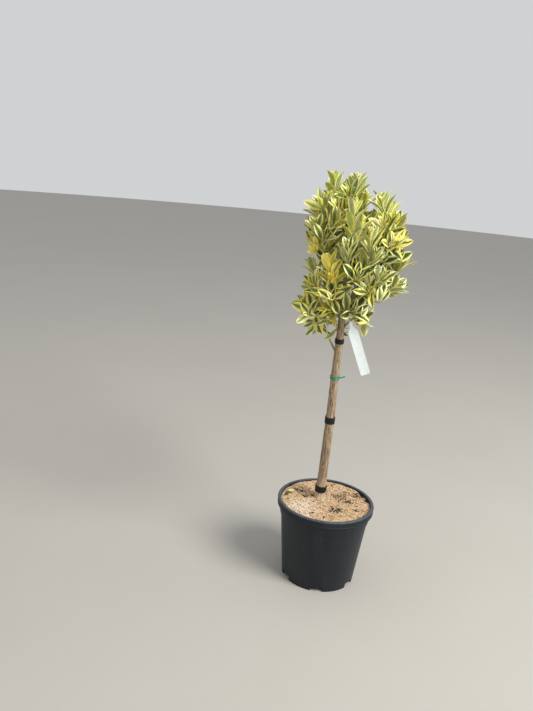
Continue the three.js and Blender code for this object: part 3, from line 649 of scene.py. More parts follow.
def outline(p):
    """Below 1 inside the crown's outline and above 1 outside it."""
    rise = p[..., 2] - CROWN_MIDDLE[2]
    x = p[..., 0] - CROWN_MIDDLE[0] + CROWN_LEAN * np.maximum(rise, 0)
    flat = np.clip((rise - FLAT_FROM) / (FLAT_TO - FLAT_FROM), 0, 1)
    flat = np.where(x < 0, flat**2 * (3 - 2 * flat), 0)
    width = lerp(CROWN_HALF_WIDTH, CROWN_FLAT_HALF_WIDTH, flat)
    height = np.where(rise > 0, CROWN_RISE, CROWN_DROP)
    parts = (x / width, (p[..., 1] - CROWN_MIDDLE[1]) / CROWN_HALF_DEPTH, rise / height)
    return sum(np.abs(part) ** CROWN_SQUARENESS for part in parts)


def edge_at(azimuth, elevation):
    """The point of the outline that is seen from the crown's middle in a direction."""
    towards, low, high = direction(azimuth, elevation), 0, 2 * CROWN_RISE
    for _ in range(HALVINGS):
        middle = (low + high) / 2
        if outline(CROWN_MIDDLE + middle * towards) < 1:
            low = middle
        else:
            high = middle
    return CROWN_MIDDLE + low * towards


stem_foot, stem_tip = np.array(STEM_FOOT, float), np.array(STEM_TIP, float)
bows = [lerp(stem_foot, stem_tip, share) + np.array([right, 0, 0]) for share, right in STEM_BOW]
stem_line = curve_through([stem_foot, stem_foot + UPRIGHT_FOOT * UPWARD, *bows, stem_tip])


def stem_share(height):
    return float(np.interp(height, stem_line.points[:, 2], stem_line.lengths)) / stem_line.length


def stem_radius(share, angle=0):
    flare = FLARE_RADIUS * math.exp(-share * stem_line.length / FLARE_FADE)
    lobes = 1 - FLARE_LOBE_DEPTH * (1 - math.cos(FLARE_LOBES * angle))
    return lerp(STEM_FOOT_RADIUS, STEM_TIP_RADIUS, share) + flare * lobes


boughs = []
for number, (name, ring, foot, azimuth, elevation, reach, own) in enumerate(BOUGHS):
    bough = {**RINGS[ring], **own, "name": name, "number": number, "azimuth": azimuth, "elevation": elevation}
    bough["reach"] = reach
    edge = edge_at(azimuth, elevation)
    start = stem_line.at(stem_share(foot)) if foot < STEM_TIP[2] else stem_tip + SEAT * UPWARD
    bough["line"] = bend(start, lerp(HUB, edge, bough["bare"]), 2 * bough["lift"])
    bough["axis"] = unit(edge - HUB)
    boughs.append(bough)


def bough_radius(bough, share):
    return bough["girth"] * lerp(BOUGH_FOOT_RADIUS, BOUGH_TIP_RADIUS, share)


def tube(line, radius_at, sides, rings, first):
    """The points and faces of a round limb. The radius is asked for by place, share and angle."""
    across = unit(np.cross(line.heading(0), ASKEW))
    points = []
    for share in np.linspace(0, 1, rings):
        middle, heading = line.at(share), line.heading(share)
        across = unit(across - heading * across.dot(heading))
        other = np.cross(heading, across)
        for i in range(sides):
            angle = 2 * math.pi * i / sides
            out = across * math.cos(angle) + other * math.sin(angle)
            points.append(middle + out * radius_at(middle, share, angle, out))
    faces = []
    for ring in range(rings - 1):
        for i in range(sides):
            j = (i + 1) % sides
            a, b = first + ring * sides, first + (ring + 1) * sides
            faces.append([a + i, a + j, b + j, b + i])
    last = first + (rings - 1) * sides
    faces += [list(range(first, first + sides))[::-1], list(range(last, last + sides))]
    return points, faces


def tubes_piece(name, tubes, smooth_below):
    """Limbs or wires joined in one piece: the line, radius, sides and rings of each."""
    points, faces = [], []
    for line, radius_at, sides, rings in tubes:
        more_points, more_faces = tube(line, radius_at, sides, rings, len(points))
        points += more_points
        faces += more_faces
    return piece_from(name, points, faces, smooth_below)


def thinning(foot, tip_share):
    """The radius of a twig or wire from its foot to its tip."""
    return lambda middle, share, angle, out: foot * lerp(1, tip_share, share)


# Millimetres across and along each pattern of the bark, and a shift that sets it apart from the others.
CRACKS, RIDGES, SWELLINGS = (1.5, 24, 0), (2.6, 9, 5), (9, 26, 11)
BARK_LEVEL, CRACK_SHARE, RIDGE_SHARE, SWELLING_SHARE = 0.3, 0.6, 0.45, 0.8


def bark_relief(middle, out, radius, depth):
    """Cracks that run along the limb, ridges between them and low swellings."""
    around = out * radius

    def pattern(across, along, shift):
        return noise.noise(Vector((around[0] / across, around[1] / across, middle[2] / along + shift)))

    raised = RIDGE_SHARE * pattern(*RIDGES) + SWELLING_SHARE * pattern(*SWELLINGS)
    return depth * (BARK_LEVEL - CRACK_SHARE * abs(pattern(*CRACKS)) + raised)


# Knots, where side shoots were cut off: the height and azimuth of each on the stem.
KNOTS = [(300, 250), (395, 200), (478, 330), (505, 240), (592, 285), (610, 300)]
KNOT_RISE, KNOT_LENGTH = 1.1, 4.5
STEM_RELIEF, LIMB_RELIEF = 0.8, 0.25
STEM_SUNK, LIMB_SUNK = 0.3, 0.1  # how far the bark lies under the frame's own surface
STEM_SIDES, STEM_RINGS, LIMB_SIDES, LIMB_RINGS = 44, 330, 12, 40


def stem_surface(middle, share, angle, out):
    radius = stem_radius(share, angle)
    knots = 0
    for height, azimuth in KNOTS:
        faced = max(0, out.dot(direction(azimuth, 0)))
        knots += KNOT_RISE * faced**4 * math.exp(-(((middle[2] - height) / KNOT_LENGTH) ** 2))
    return radius - STEM_SUNK + knots + bark_relief(middle, out, radius, STEM_RELIEF)


old_bark = finish(
    "old_bark",
    [(0.035, 0.023, 0.014), (0.2, 0.135, 0.08), (0.38, 0.275, 0.17), (0.54, 0.42, 0.285)],
    patch=2.2 * MM,
    rough=(0.7, 0.95),
    grain=0.9 * MM,
    relief=0.35 * MM,
    stretch=(1, 1, 16),
    # the stem's own straw tint, paler towards its foot
    tint_and_painted_highlight=((0.8, 0.66, 0.45), 275 * MM, 210 * MM),
)
young_bark = finish(
    "young_bark",
    [(0.13, 0.1, 0.05), (0.24, 0.22, 0.1), (0.33, 0.33, 0.16)],
    patch=6 * MM,
    rough=(0.6, 0.85),
    grain=0.8 * MM,
    relief=0.15 * MM,
    stretch=(1, 1, 3),
)
stem = tubes_piece("stem_bark", [(stem_line, stem_surface, STEM_SIDES, STEM_RINGS)], 50)
dress(stem, old_bark, "bark", "trunk")
for bough in boughs:

    def limb_surface(middle, share, angle, out):
        radius = bough_radius(bough, share)
        return radius - LIMB_SUNK + bark_relief(middle, out, radius, LIMB_RELIEF)

    limb = tubes_piece("limb_" + bough["name"], [(bough["line"], limb_surface, LIMB_SIDES, LIMB_RINGS)], 50)
    dress(limb, young_bark, "bark", "bough_" + bough["name"])

# Twigs: each bough ends in a short stem whose shoots fan out to the crown's edge, in the frame's own places,
# and finer twigs fork off those to fill the head evenly.

SPACE_MARGIN = 0.4
STEM_LENGTH, FORK_FROM, FORK_RANGE, MOST_WIDENING = 16, 0.45, 0.5, 2.5
DRAWN_IN, SHOOT_SAG, SHOOT_SHORTEST, TWIG_RADIUS = (1, 0.8, 0.6, 0.4, 0.2), 0.14, 0.84, 2
LEAF_LENGTH, TUFT_LENGTH = 52, 0.7
FIRST_SEED, SEED_STEP, FINE_SEED = 1000, 77, 77

for bough in boughs:
    others = [other["axis"] for other in boughs if other is not bough]
    bough["walls"] = np.array([unit(bough["axis"] - axis) for axis in others])

# Where leaves and twigs keep clear: spots along the stem, along each bough and down the label.
STEM_SPOT_STEP, BOUGH_SPOTS, LABEL_SPOTS = 4, 31, 17
keep_clear, clear_radius = [], []
for height in range(STEM_FOOT[2], STEM_TIP[2], STEM_SPOT_STEP):
    keep_clear.append(stem_line.at(stem_share(height)))
    clear_radius.append(stem_radius(stem_share(height)))
for bough in boughs:
    for share in np.linspace(0, 1, BOUGH_SPOTS):
        keep_clear.append(bough["line"].at(share))
        clear_radius.append(bough_radius(bough, share))

LABEL_LENGTH, LABEL_WIDTH, LABEL_NECK_WIDTH, LABEL_NECK = 140, 24, 7, 0.06
LABEL_SWING, LABEL_PLACE = math.radians(23), 0.56
label_bough = next(bough for bough in boughs if bough["name"] == "low_right")
label_top = label_bough["line"].at(LABEL_PLACE)
label_down = np.array([math.sin(LABEL_SWING), 0, -math.cos(LABEL_SWING)])
label_across = np.array([math.cos(LABEL_SWING), 0, math.sin(LABEL_SWING)])
for share in np.linspace(0, 1, LABEL_SPOTS):
    keep_clear.append(label_top + label_down * share * LABEL_LENGTH)
    clear_radius.append((LABEL_NECK_WIDTH if share < LABEL_NECK else LABEL_WIDTH) / 2)
keep_clear, clear_radius = np.array(keep_clear), np.array(clear_radius)


# The head's underside rises to the right of the low tuft beside the label.
UNDERSIDE_HEIGHT, UNDERSIDE_FROM, UNDERSIDE_SLOPE = 745, 64, 0.35
LOWEST_LEAF = 640
LOOSE_FROM, LOOSE_TO, LOOSENESS, LONG_LOOSENESS = 860, 960, 0.16, 0.4


def below_underside(points):
    right = points[..., 0] - UNDERSIDE_FROM
    return (right > 0) & (points[..., 2] < UNDERSIDE_HEIGHT + UNDERSIDE_SLOPE * right)


def in_own_space(points, bough):
    """Whether all the points are in a bough's own part of the crown."""
    points = np.atleast_2d(points)
    if np.any(outline(points) > 1) or np.any(below_underside(points)):
        return False
    return bool(np.all((points - HUB) @ bough["walls"].T > SPACE_MARGIN))


eye_place = np.array(EYE) / MM


def seen_against(depth, points):
    """Where the eye sees points against an upright plane at a depth."""
    share = (depth - points[:, 1]) / (eye_place[1] - points[:, 1])
    return points + share[:, None] * (eye_place - points)


def in_head(points, looseness=LOOSENESS):
    """Whether all the points are where the head has leaves, which stand out a little more near its top."""
    points = np.atleast_2d(points)
    highness = np.clip((points[:, 2] - LOOSE_FROM) / (LOOSE_TO - LOOSE_FROM), 0, 1)
    inside = (outline(points) < 1 + looseness * highness) & (points[:, 2] > LOWEST_LEAF)
    return bool(np.all(inside & ~below_underside(points) & ~below_underside(seen_against(0, points))))


def clear_of_limbs(points, room):
    apart = np.linalg.norm(np.atleast_2d(points)[:, None, :] - keep_clear[None], axis=2)
    return bool(np.all(apart > clear_radius + room))


def main_shoots(bough, draw):
    """The shoots that the frame's own masses have."""
    heading = bough["line"].heading(1)
    stem_start = bough["line"].at(1) + SEAT * heading
    stem = Line(np.array([stem_start, stem_start + STEM_LENGTH * heading]))
    shoots, phase = [], draw()
    widened = bough["round"] * min(1 / math.cos(math.radians(bough["elevation"])), MOST_WIDENING)
    for i in range(bough["shoots"]):
        around = 2 * math.pi * (phase + i / bough["shoots"])
        length = 1 if i == 0 else lerp(SHOOT_SHORTEST, 1, draw())
        fork = stem.at(FORK_FROM + FORK_RANGE * draw())
        turn = 360 * draw()
        for spread in DRAWN_IN:
            azimuth = bough["azimuth"] + spread * widened * math.cos(around)
            elevation = bough["elevation"] + spread * bough["up"] * math.sin(around)
            edge = edge_at(azimuth, elevation)
            tuft = TUFT_LENGTH * LEAF_LENGTH / np.linalg.norm(edge - HUB)
            tip = lerp(HUB, edge, bough["reach"] * length - tuft)
            line = bend(fork, tip, -SHOOT_SAG * np.linalg.norm(tip - fork))
            spaced = np.array([line.at(share) for share in np.linspace(0, 1, 9)])
            if in_own_space(spaced, bough) and clear_of_limbs(spaced, TWIG_RADIUS):
                shoot = {"bough": bough, "line": line, "turn": turn, "radius": TWIG_RADIUS, "main": True}
                shoots.append({**shoot, "looseness": LOOSENESS})
                break
    return shoots, stem


# The finer twigs: a tip is thrown at a random place of the crown and kept where no other tip is near, and
# its twig forks off the nearest shoot that runs the same way.
TIP_ROOM_AT_TOP, TIP_ROOM_AT_FOOT = 38, 49  # between the tips of two shoots
TWIG_TRIES = 1800  # for each bough
THROWN_ROUND, THROWN_UP, STEEPEST = 150, 110, 88  # degrees
INNER_REACH, OUTWARD = 0.62, 0.45  # the least reach, and how the others crowd to the edge
FORKS_ON_SHOOT, FORKS_ON_BOUGH = np.linspace(0.05, 0.85, 12), np.linspace(0.5, 0.98, 6)
TWIG_SHORTEST, TWIG_LONGEST = 22, 110
TWIG_SAG = 0.22
TWIG_FOOT_POINTS = 20  # of its line, which may touch the limb that it forks off
FINE_TWIG_RADIUS = 1.5
LEAN_MOST = 0.3  # least cosine between a twig's chord and the shoot that it forks off
HIGH, LOW = 800, 650
LONG_SHOOTS = {"top_left": [(-98, -25, 958)]}  # tips that stand a little out of the head


def lowness(place):
    """From 0 high in the head to 1 at its foot, where leaves are fewer and larger and droop more."""
    return min(1, max(0, (HIGH - place[2]) / (HIGH - LOW)))


def fine_twigs(bough, shoots, tips, draw):
    twigs = []
    parents = [(shoot["line"], share) for shoot in shoots for share in FORKS_ON_SHOOT]
    parents += [(bough["line"], share) for share in FORKS_ON_BOUGH]
    forks = np.array([line.at(share) for line, share in parents])
    headings = np.array([line.heading(share) for line, share in parents])
    long_tips = [np.array(tip, float) for tip in LONG_SHOOTS.get(bough["name"], [])]
    for attempt in range(len(long_tips) + TWIG_TRIES):
        is_long = attempt < len(long_tips)
        azimuth = bough["azimuth"] + THROWN_ROUND * (draw() - 0.5)
        elevation = bough["elevation"] + THROWN_UP * (draw() - 0.5)
        if abs(elevation) > STEEPEST and not is_long:
            continue
        reach = bough["reach"] * lerp(INNER_REACH, 1, draw() ** OUTWARD)
        edge = edge_at(azimuth, elevation)
        tuft = TUFT_LENGTH * LEAF_LENGTH / np.linalg.norm(edge - HUB)
        tip = long_tips[attempt] if is_long else lerp(HUB, edge, reach - tuft)
        room = lerp(TIP_ROOM_AT_TOP, TIP_ROOM_AT_FOOT, lowness(tip))
        crowded = np.min(np.linalg.norm(np.array(tips) - tip, axis=1)) < room
        fits = in_own_space(tip, bough) and in_head(tip - LEAF_LENGTH / 3 * UPWARD)
        if not is_long and (crowded or not fits):
            continue
        chords = tip - forks
        spans = np.linalg.norm(chords, axis=1)
        along = np.sum(chords * headings, axis=1) / np.maximum(spans, 1)
        usable = (along > LEAN_MOST) & (spans > TWIG_SHORTEST) & (spans < TWIG_LONGEST)
        if not usable.any():
            continue
        chosen = int(np.argmin(np.where(usable, spans, np.inf)))
        line = bend(forks[chosen], tip, -TWIG_SAG * spans[chosen])
        if not clear_of_limbs(line.points[TWIG_FOOT_POINTS:], TWIG_RADIUS):
            continue
        tips.append(tip)
        twig = {"bough": bough, "line": line, "turn": 360 * draw(), "radius": FINE_TWIG_RADIUS, "main": False}
        twigs.append({**twig, "looseness": LONG_LOOSENESS if is_long else LOOSENESS})
    return twigs


shoots, stems = [], []
for bough in boughs:
    bough["draw"] = seeded(FIRST_SEED + SEED_STEP * bough["number"])
    bough["shoots_grown"], stem = main_shoots(bough, bough["draw"])
    shoots += bough["shoots_grown"]
    stems.append((stem, bough_radius(bough, 1)))
tips = [shoot["line"].at(1) for shoot in shoots]
fine_draw = seeded(FINE_SEED)
for bough in boughs:
    shoots += fine_twigs(bough, bough["shoots_grown"], tips, fine_draw)

# Leaves: opposite pairs a quarter turn apart, which close to a rosette at each tip. Every leaf is leathery,
# folded along its midrib and arched, green in the middle with an uneven cream to gold edge.

FIRST_INTERNODE, INTERNODE_GROWTH, LONGEST_INTERNODE, LEAFY_SHARE = 7, 1.3, 18, 0.8
OPEN_AT_TIP, OPEN_LOWER, OPENS_OVER, OPEN_SPREAD = 20, 62, 26, 8
SIZE_AT_TIP, SIZE_LOWER, GROWS_OVER, SIZE_SPREAD, TURN_SPREAD = 0.6, 1.14, 20, 0.2, 24
WIDTH_AT_TOP, WIDTH_AT_FOOT, FACE_RISE, SHRUNK = 0.39, 0.47, 0.3, (1, 0.86, 0.74, 0.62)
LARGER_AT_FOOT = 1.07
RISE_AT_TOP, RISE_AT_FOOT = 0.75, 0.2  # how much leaves turn up, high in the head and at its foot
LEAF_ROOM, LEAF_WIDEST = 1.2, 0.56
PETIOLE = 0.07  # share of a leaf's length
WIDENS, NARROWS = 0.95, 0.72  # powers of the blade's two ends, so that it is widest past its middle
BLADE_ROWS = np.array([0, 0.08, 0.21, 0.39, 0.58, 0.76, 0.91, 1])
TOP_COLUMNS, UNDER_COLUMNS = 7, 5
BLADE_THICKNESS = 0.3
ROLL_SPREAD, FLATTEST, MOST_FOLDED, SWING = 10, 9, 32, 0.05  # degrees, and a share of the length
WAVE_HEIGHT, CUPPED = 0.016, 0.14
WAVE_RADIANS = (6, 11)  # of an edge's waves over the length of a leaf
NARROW_GREEN, WIDE_GREEN, GREEN_SPREAD = 0.5, 0.72, 0.08  # shares of the blade's half width
GREEN_LIMITS, CENTRE_LIMITS, CENTRE_SHARE, CENTRE_SPREAD = (0.36, 0.86), (0.2, 0.85), 0.5, 0.16
FOOT_RISE, STALK_WIDTH = 0.1, 0.07  # shares of a leaf's length and of its width
TIP_HALF_WIDTH = 0.2
ARCH_AT_TOP, ARCH_AT_FOOT, ARCH_SPREAD = 0.06, 0.26, 0.08  # how far a tip droops, as a share of the length

CENTRE, BETWEEN, MARGIN, UNDER_MIDDLE, UNDER_EDGE = range(5)
TOP_ZONES = [MARGIN, BETWEEN, CENTRE, CENTRE, BETWEEN, MARGIN]
UNDER_ZONES = [UNDER_EDGE, UNDER_MIDDLE, UNDER_MIDDLE, UNDER_EDGE]
TONES = {
    "deep_green": (0.042, 0.066, 0.015),
    "mid_green": (0.13, 0.18, 0.042),
    "grey_green": (0.33, 0.385, 0.145),
    "lime": (0.46, 0.56, 0.1),
    "cream": (0.97, 0.91, 0.4),
    "yellow": (0.97, 0.85, 0.2),
    "gold": (0.98, 0.82, 0.15),
    "pale_green": (0.42, 0.47, 0.18),
}
# The tones of a leaf in each kind of spray, drawn at random: centre, between, margin, underside.
KINDS = {
    "mature": [
        ("deep_green", "mid_green", "yellow", "pale_green"),
        ("deep_green", "grey_green", "cream", "pale_green"),
        ("mid_green", "grey_green", "cream", "grey_green"),
        ("deep_green", "mid_green", "cream", "grey_green"),
    ],
    "bright": [
        ("mid_green", "grey_green", "yellow", "pale_green"),
        ("deep_green", "grey_green", "yellow", "pale_green"),
        ("mid_green", "yellow", "yellow", "pale_green"),
        ("grey_green", "cream", "cream", "pale_green"),
    ],
    "young": [
        ("lime", "lime", "cream", "lime"),
        ("mid_green", "lime", "cream", "pale_green"),
        ("lime", "cream", "yellow", "lime"),
        ("mid_green", "grey_green", "cream", "pale_green"),
    ],
    "golden": [
        ("gold", "gold", "yellow", "gold"),
        ("lime", "yellow", "gold", "yellow"),
        ("gold", "yellow", "yellow", "gold"),
        ("grey_green", "gold", "yellow", "gold"),
    ],
}


def leaf_places(shoot, draw):
    """Where a shoot's leaves sit, from its tip back: share, turn, opening and size."""
    places, turn, internode, back = [], shoot["turn"], FIRST_INTERNODE, 0
    length = shoot["line"].length
    while back < LEAFY_SHARE * length:
        opened = lerp(OPEN_AT_TIP, OPEN_LOWER, min(1, back / OPENS_OVER))
        grown = lerp(SIZE_AT_TIP, SIZE_LOWER, min(1, back / GROWS_OVER))
        for side in (0, 180):
            opening = opened + OPEN_SPREAD * (draw() - 0.5)
            places.append((1 - back / length, turn + side, opening, grown - SIZE_SPREAD * draw()))
        turn += 90 + TURN_SPREAD * (draw() - 0.5)
        first = back == 0
        back += internode
        if not first:
            internode = min(internode * INTERNODE_GROWTH, LONGEST_INTERNODE)
    return places


def leaf_frame(shoot, place, shrink):
    """A leaf's root, the way it points, the way it faces and its length."""
    share, turn, opening, size = place
    heading = shoot["line"].heading(share)
    across = unit(np.cross(heading, direction(shoot["bough"]["azimuth"] + 90, 0)))
    other = np.cross(heading, across)
    outward = across * math.cos(math.radians(turn)) + other * math.sin(math.radians(turn))
    opened = math.radians(opening * shrink)
    root = shoot["line"].at(share)
    rise = lerp(RISE_AT_TOP, RISE_AT_FOOT, lowness(root))
    ahead = unit(heading * math.cos(opened) + outward * math.sin(opened) + rise * UPWARD)
    face = heading + FACE_RISE * UPWARD
    face = unit(face - ahead * face.dot(ahead))
    return root, ahead, face, LEAF_LENGTH * size * shrink * lerp(1, LARGER_AT_FOOT, lowness(root))


# What no leaf may hang in front of, as seen by the eye: the label, and the bare stem under the head. Each
# has the place where it starts, the way it runs, and how long and wide it is.
BARE_FROM, BARE_LENGTH, BARE_WIDTH, SHOWN_ROOM = 690, 100, 18, 4
SHOWN = [
    (label_top, label_down, LABEL_LENGTH, LABEL_WIDTH),
    (stem_line.at(stem_share(BARE_FROM)), -UPWARD, BARE_LENGTH, BARE_WIDTH),
]


def hides_shown(points):
    for start, runs, length, width in SHOWN:
        seen = seen_against(start[1], points) - start
        along, aside = seen @ runs, np.abs(seen @ np.array([-runs[2], 0, runs[0]]))
        over = (along > -SHOWN_ROOM) & (along < length) & (aside < width / 2 + SHOWN_ROOM)
        if np.any(over & (points[:, 1] < start[1])):
            return True
    return False


def blade_halves(length, width):
    """Half the width of a leaf at each of its rows."""
    t = np.maximum(0, (BLADE_ROWS - PETIOLE) / (1 - PETIOLE))
    widest = WIDENS / (WIDENS + NARROWS)
    fullest = widest**WIDENS * (1 - widest) ** NARROWS
    halves = width / 2 * np.maximum(t**WIDENS * (1 - t) ** NARROWS / fullest, STALK_WIDTH)
    halves[-1] = TIP_HALF_WIDTH
    return halves, t


def blade(root, ahead, face, length, width, arch, chance):
    """The points of one leaf: its upper side in columns, then its underside between the same edges."""
    roll = math.radians(chance.normal(0, ROLL_SPREAD))
    side = np.cross(ahead, face)
    face = face * math.cos(roll) + side * math.sin(roll)
    side = np.cross(ahead, face)
    halves, t = blade_halves(length, width)
    fold = math.radians(chance.uniform(FLATTEST, MOST_FOLDED))
    swing = chance.uniform(-SWING, SWING)
    middle = root + np.outer(BLADE_ROWS * length, ahead)
    middle += np.outer((FOOT_RISE * t - (FOOT_RISE + arch) * t**2) * length, face)
    middle += np.outer(swing * t**2 * length, side)
    rows = len(BLADE_ROWS)
    green = chance.uniform(NARROW_GREEN, WIDE_GREEN)
    margin = np.clip(green + GREEN_SPREAD * chance.standard_normal((2, rows)), *GREEN_LIMITS)
    uneven = CENTRE_SHARE + CENTRE_SPREAD * chance.standard_normal((2, rows))
    centre = margin * np.clip(uneven, *CENTRE_LIMITS)
    ones, zeros = np.ones(rows), np.zeros(rows)
    top = np.stack([-ones, -margin[0], -centre[0], zeros, centre[1], margin[1], ones], axis=1)
    under = np.stack([-margin[0], zeros, margin[1]], axis=1)
    waves = np.sin(BLADE_ROWS * chance.uniform(*WAVE_RADIANS) + chance.uniform(0, 2 * math.pi))
    wave = WAVE_HEIGHT * length * chance.uniform(-1, 1) * waves[:, None]

    def spread(columns, sink):
        wide = np.abs(columns)
        out = columns * halves[:, None] * math.cos(fold)
        up = halves[:, None] * (wide * math.sin(fold) - CUPPED * wide**2) + wave * wide**2 - sink
        return (middle[:, None, :] + out[..., None] * side + up[..., None] * face).reshape(-1, 3)

    return np.concatenate([spread(top, 0), spread(under, BLADE_THICKNESS)])


def blade_faces():
    """The faces of a leaf, as its points are numbered, and the zone that each lies in."""
    faces, zones = [], []
    rows, inner = len(BLADE_ROWS), UNDER_COLUMNS - 2

    def under_point(row, column):
        if column in (0, UNDER_COLUMNS - 1):
            return row * TOP_COLUMNS + (0 if column == 0 else TOP_COLUMNS - 1)
        return rows * TOP_COLUMNS + row * inner + column - 1

    for row in range(rows - 1):
        for column, zone in enumerate(TOP_ZONES):
            a, b = row * TOP_COLUMNS + column, (row + 1) * TOP_COLUMNS + column
            faces.append([a, a + 1, b + 1, b])
            zones.append(zone)
        for column, zone in enumerate(UNDER_ZONES):
            corners = [(row, column), (row + 1, column), (row + 1, column + 1), (row, column + 1)]
            faces.append([under_point(*corner) for corner in corners])
            zones.append(zone)
    return np.array(faces), np.array(zones)


# Groups of golden shoots at the left of the middle: where the eye sees each, to the right and up, and how far
# out the gold reaches. The leaves low at the right are mostly mature ones.
GOLDEN_GROUPS = [((-108, 852), 26), ((-62, 800), 28), ((-72, 722), 24)]
GOLD_DEPTH = 20  # how far back the gold goes
YOUNG_ABOVE, MATURE_BELOW, MATURE_FROM = 925, 850, 10
YOUNG_SHARE, MATURE_SHARE, LOW_RIGHT_MATURE_SHARE = 0.85, 0.45, 0.75


def kind_of(tip, draw):
    """What kind of spray a shoot is, by where its tip is in the crown."""
    right, _, height = seen_against(0, tip[None])[0]
    for middle, reach in GOLDEN_GROUPS:
        if math.hypot(right - middle[0], height - middle[1]) < reach and tip[1] < GOLD_DEPTH:
            return "golden"
    if height > YOUNG_ABOVE and draw() < YOUNG_SHARE:
        return "young"
    low_right = right > MATURE_FROM and height < MATURE_BELOW
    return "mature" if draw() < (LOW_RIGHT_MATURE_SHARE if low_right else MATURE_SHARE) else "bright"


LEAF_FACES, LEAF_ZONES = blade_faces()
BLADE_POINTS = len(BLADE_ROWS) * (TOP_COLUMNS + UNDER_COLUMNS - 2)
FOLIAGE = ["foliage_" + bough["name"] for bough in boughs]
COLOUR_SEED, BLADE_SEED = 5, 9
colour_draw = seeded(COLOUR_SEED)
chance = np.random.default_rng(BLADE_SEED)
blades = []
tone_faces = {tone: [] for tone in TONES}
for shoot in shoots:
    draw = shoot["bough"]["draw"] if shoot["main"] else fine_draw
    kind = KINDS[kind_of(shoot["line"].at(1), colour_draw)]
    shoot["leafy_to"] = 0
    for place in leaf_places(shoot, draw):
        for shrink in SHRUNK:
            root, ahead, face, length = leaf_frame(shoot, place, shrink)
            width = length * lerp(WIDTH_AT_TOP, WIDTH_AT_FOOT, lowness(root))
            side = np.cross(ahead, face) * width / 2
            widest = root + ahead * length * LEAF_WIDEST
            ends = np.array([root + ahead * length, widest + side, widest - side])
            spots = np.array([*ends, widest, *(root + ahead * length * share for share in (0.3, 0.8))])
            inside = in_head(ends, shoot["looseness"])
            if inside and clear_of_limbs(ends, LEAF_ROOM) and not hides_shown(spots):
                break
        else:
            continue
        arch = lerp(ARCH_AT_TOP, ARCH_AT_FOOT, lowness(root)) + chance.uniform(-ARCH_SPREAD, ARCH_SPREAD)
        first = len(blades) * BLADE_POINTS
        blades.append(blade(root, ahead, face, length, width, arch, chance))
        shoot["leafy_to"] = max(shoot["leafy_to"], place[0])
        centre, between, margin, under = kind[int(len(kind) * colour_draw())]
        zone_tones = {
            CENTRE: centre,
            BETWEEN: between,
            MARGIN: margin,
            UNDER_MIDDLE: under,
            UNDER_EDGE: margin,
        }
        for zone, tone in zone_tones.items():
            tone_faces[tone].append(first + LEAF_FACES[LEAF_ZONES == zone])
leaf_points = np.concatenate(blades)
DARKER, LIGHTER = 0.82, 1.12  # a leaf's blotches, as shares of its tone


def leaf_finish(tone, colour):
    """A leaf's skin: satin, a little blotched, with a fine relief of veins."""
    dark = [DARKER * part for part in colour]
    light = [min(1, LIGHTER * part) for part in colour]
    veins = {"grain": 2.5 * MM, "relief": 0.12 * MM}
    return finish("leaf_" + tone, [dark, colour, light], patch=8 * MM, rough=(0.34, 0.5), **veins)


for tone, faces in tone_faces.items():
    faces = np.concatenate(faces)
    used, numbered = np.unique(faces, return_inverse=True)
    piece = piece_from("leaves_" + tone, leaf_points[used], numbered.reshape(-1, 4).tolist(), 60)
    dress(piece, leaf_finish(tone, TONES[tone]), "leaf", *FOLIAGE)

# The twigs themselves: each is green-yellow and runs as far as its outermost leaf.
TWIG_TIP_SHARE, STEM_TIP_SHARE = 0.62, 0.8  # of the radius at the foot


def shortened(line, share):
    kept = line.points[line.lengths < share * line.length]
    return Line(np.concatenate([kept, [line.at(share)]]))


twigs = [
    (shortened(shoot["line"], shoot["leafy_to"]), thinning(shoot["radius"], TWIG_TIP_SHARE), 6, 9)
    for shoot in shoots
    if shoot["leafy_to"] > 0
]
twigs += [(stem, thinning(radius, STEM_TIP_SHARE), 8, 3) for stem, radius in stems]
dress(
    tubes_piece("green_twigs", twigs, 70),
    finish(
        "green_twig",
        [(0.16, 0.2, 0.04), (0.34, 0.36, 0.09), (0.46, 0.44, 0.14)],
        patch=8 * MM,
        rough=(0.4, 0.6),
        grain=1 * MM,
        relief=0.06 * MM,
    ),
    "leaf",
    *FOLIAGE,
)

# Bands: three turns of black tape round the stem, each with the step of its overlapping end.

BANDS = [("low", 237, 17), ("middle", 429, 17), ("high", 637, 12)]
BAND_SLACK, BAND_THICKNESS, BAND_SOFTENING = 0.45, 1.2, 0.35
OVERLAP_STEP, OVERLAP_TURN = 0.2, 2.2
black_tape = finish(
    "black_tape",
    [(0.005, 0.005, 0.0055), (0.011, 0.011, 0.012)],
    patch=6 * MM,
    rough=(0.45, 0.65),
    grain=1.2 * MM,
    relief=0.06 * MM,
    shine=0.3,
)
for name, middle, height in BANDS:
    share = stem_share(middle)
    radius = stem_radius(stem_share(middle - height / 2)) + SEAT + BAND_SLACK
    outer = radius + BAND_THICKNESS - OVERLAP_STEP
    edge = [
        (radius, -height / 2),
        (outer - BAND_SOFTENING, -height / 2),
        (outer, -height / 2 + BAND_SOFTENING),
        (outer, height / 2 - BAND_SOFTENING),
        (outer - BAND_SOFTENING, height / 2),
        (radius, height / 2),
        (radius, -height / 2),
    ]
    band = turned("tape_" + name, [(out * MM, up * MM) for out, up in edge], 48)
    bpy.ops.object.mode_set(mode="OBJECT")
    upright = Vector((0, 0, 1)).rotation_difference(Vector(stem_line.heading(share)))
    centre = Vector(stem_line.at(share)) * MM
    for corner in band.data.vertices:
        spot = corner.co
        wrap = (math.atan2(spot.y, spot.x) + OVERLAP_TURN) % (2 * math.pi) / (2 * math.pi)
        grown = 1 + OVERLAP_STEP * MM * wrap / math.hypot(spot.x, spot.y)
        corner.co = centre + upright @ Vector((spot.x * grown, spot.y * grown, spot.z))
    band.data.update()
    smooth(band, 35)
    dress(band, black_tape, "black_tape", "band_" + name)

# Wire tie: green plastic-coated wire, wound three and a half times round the stem, its ends twisted together.

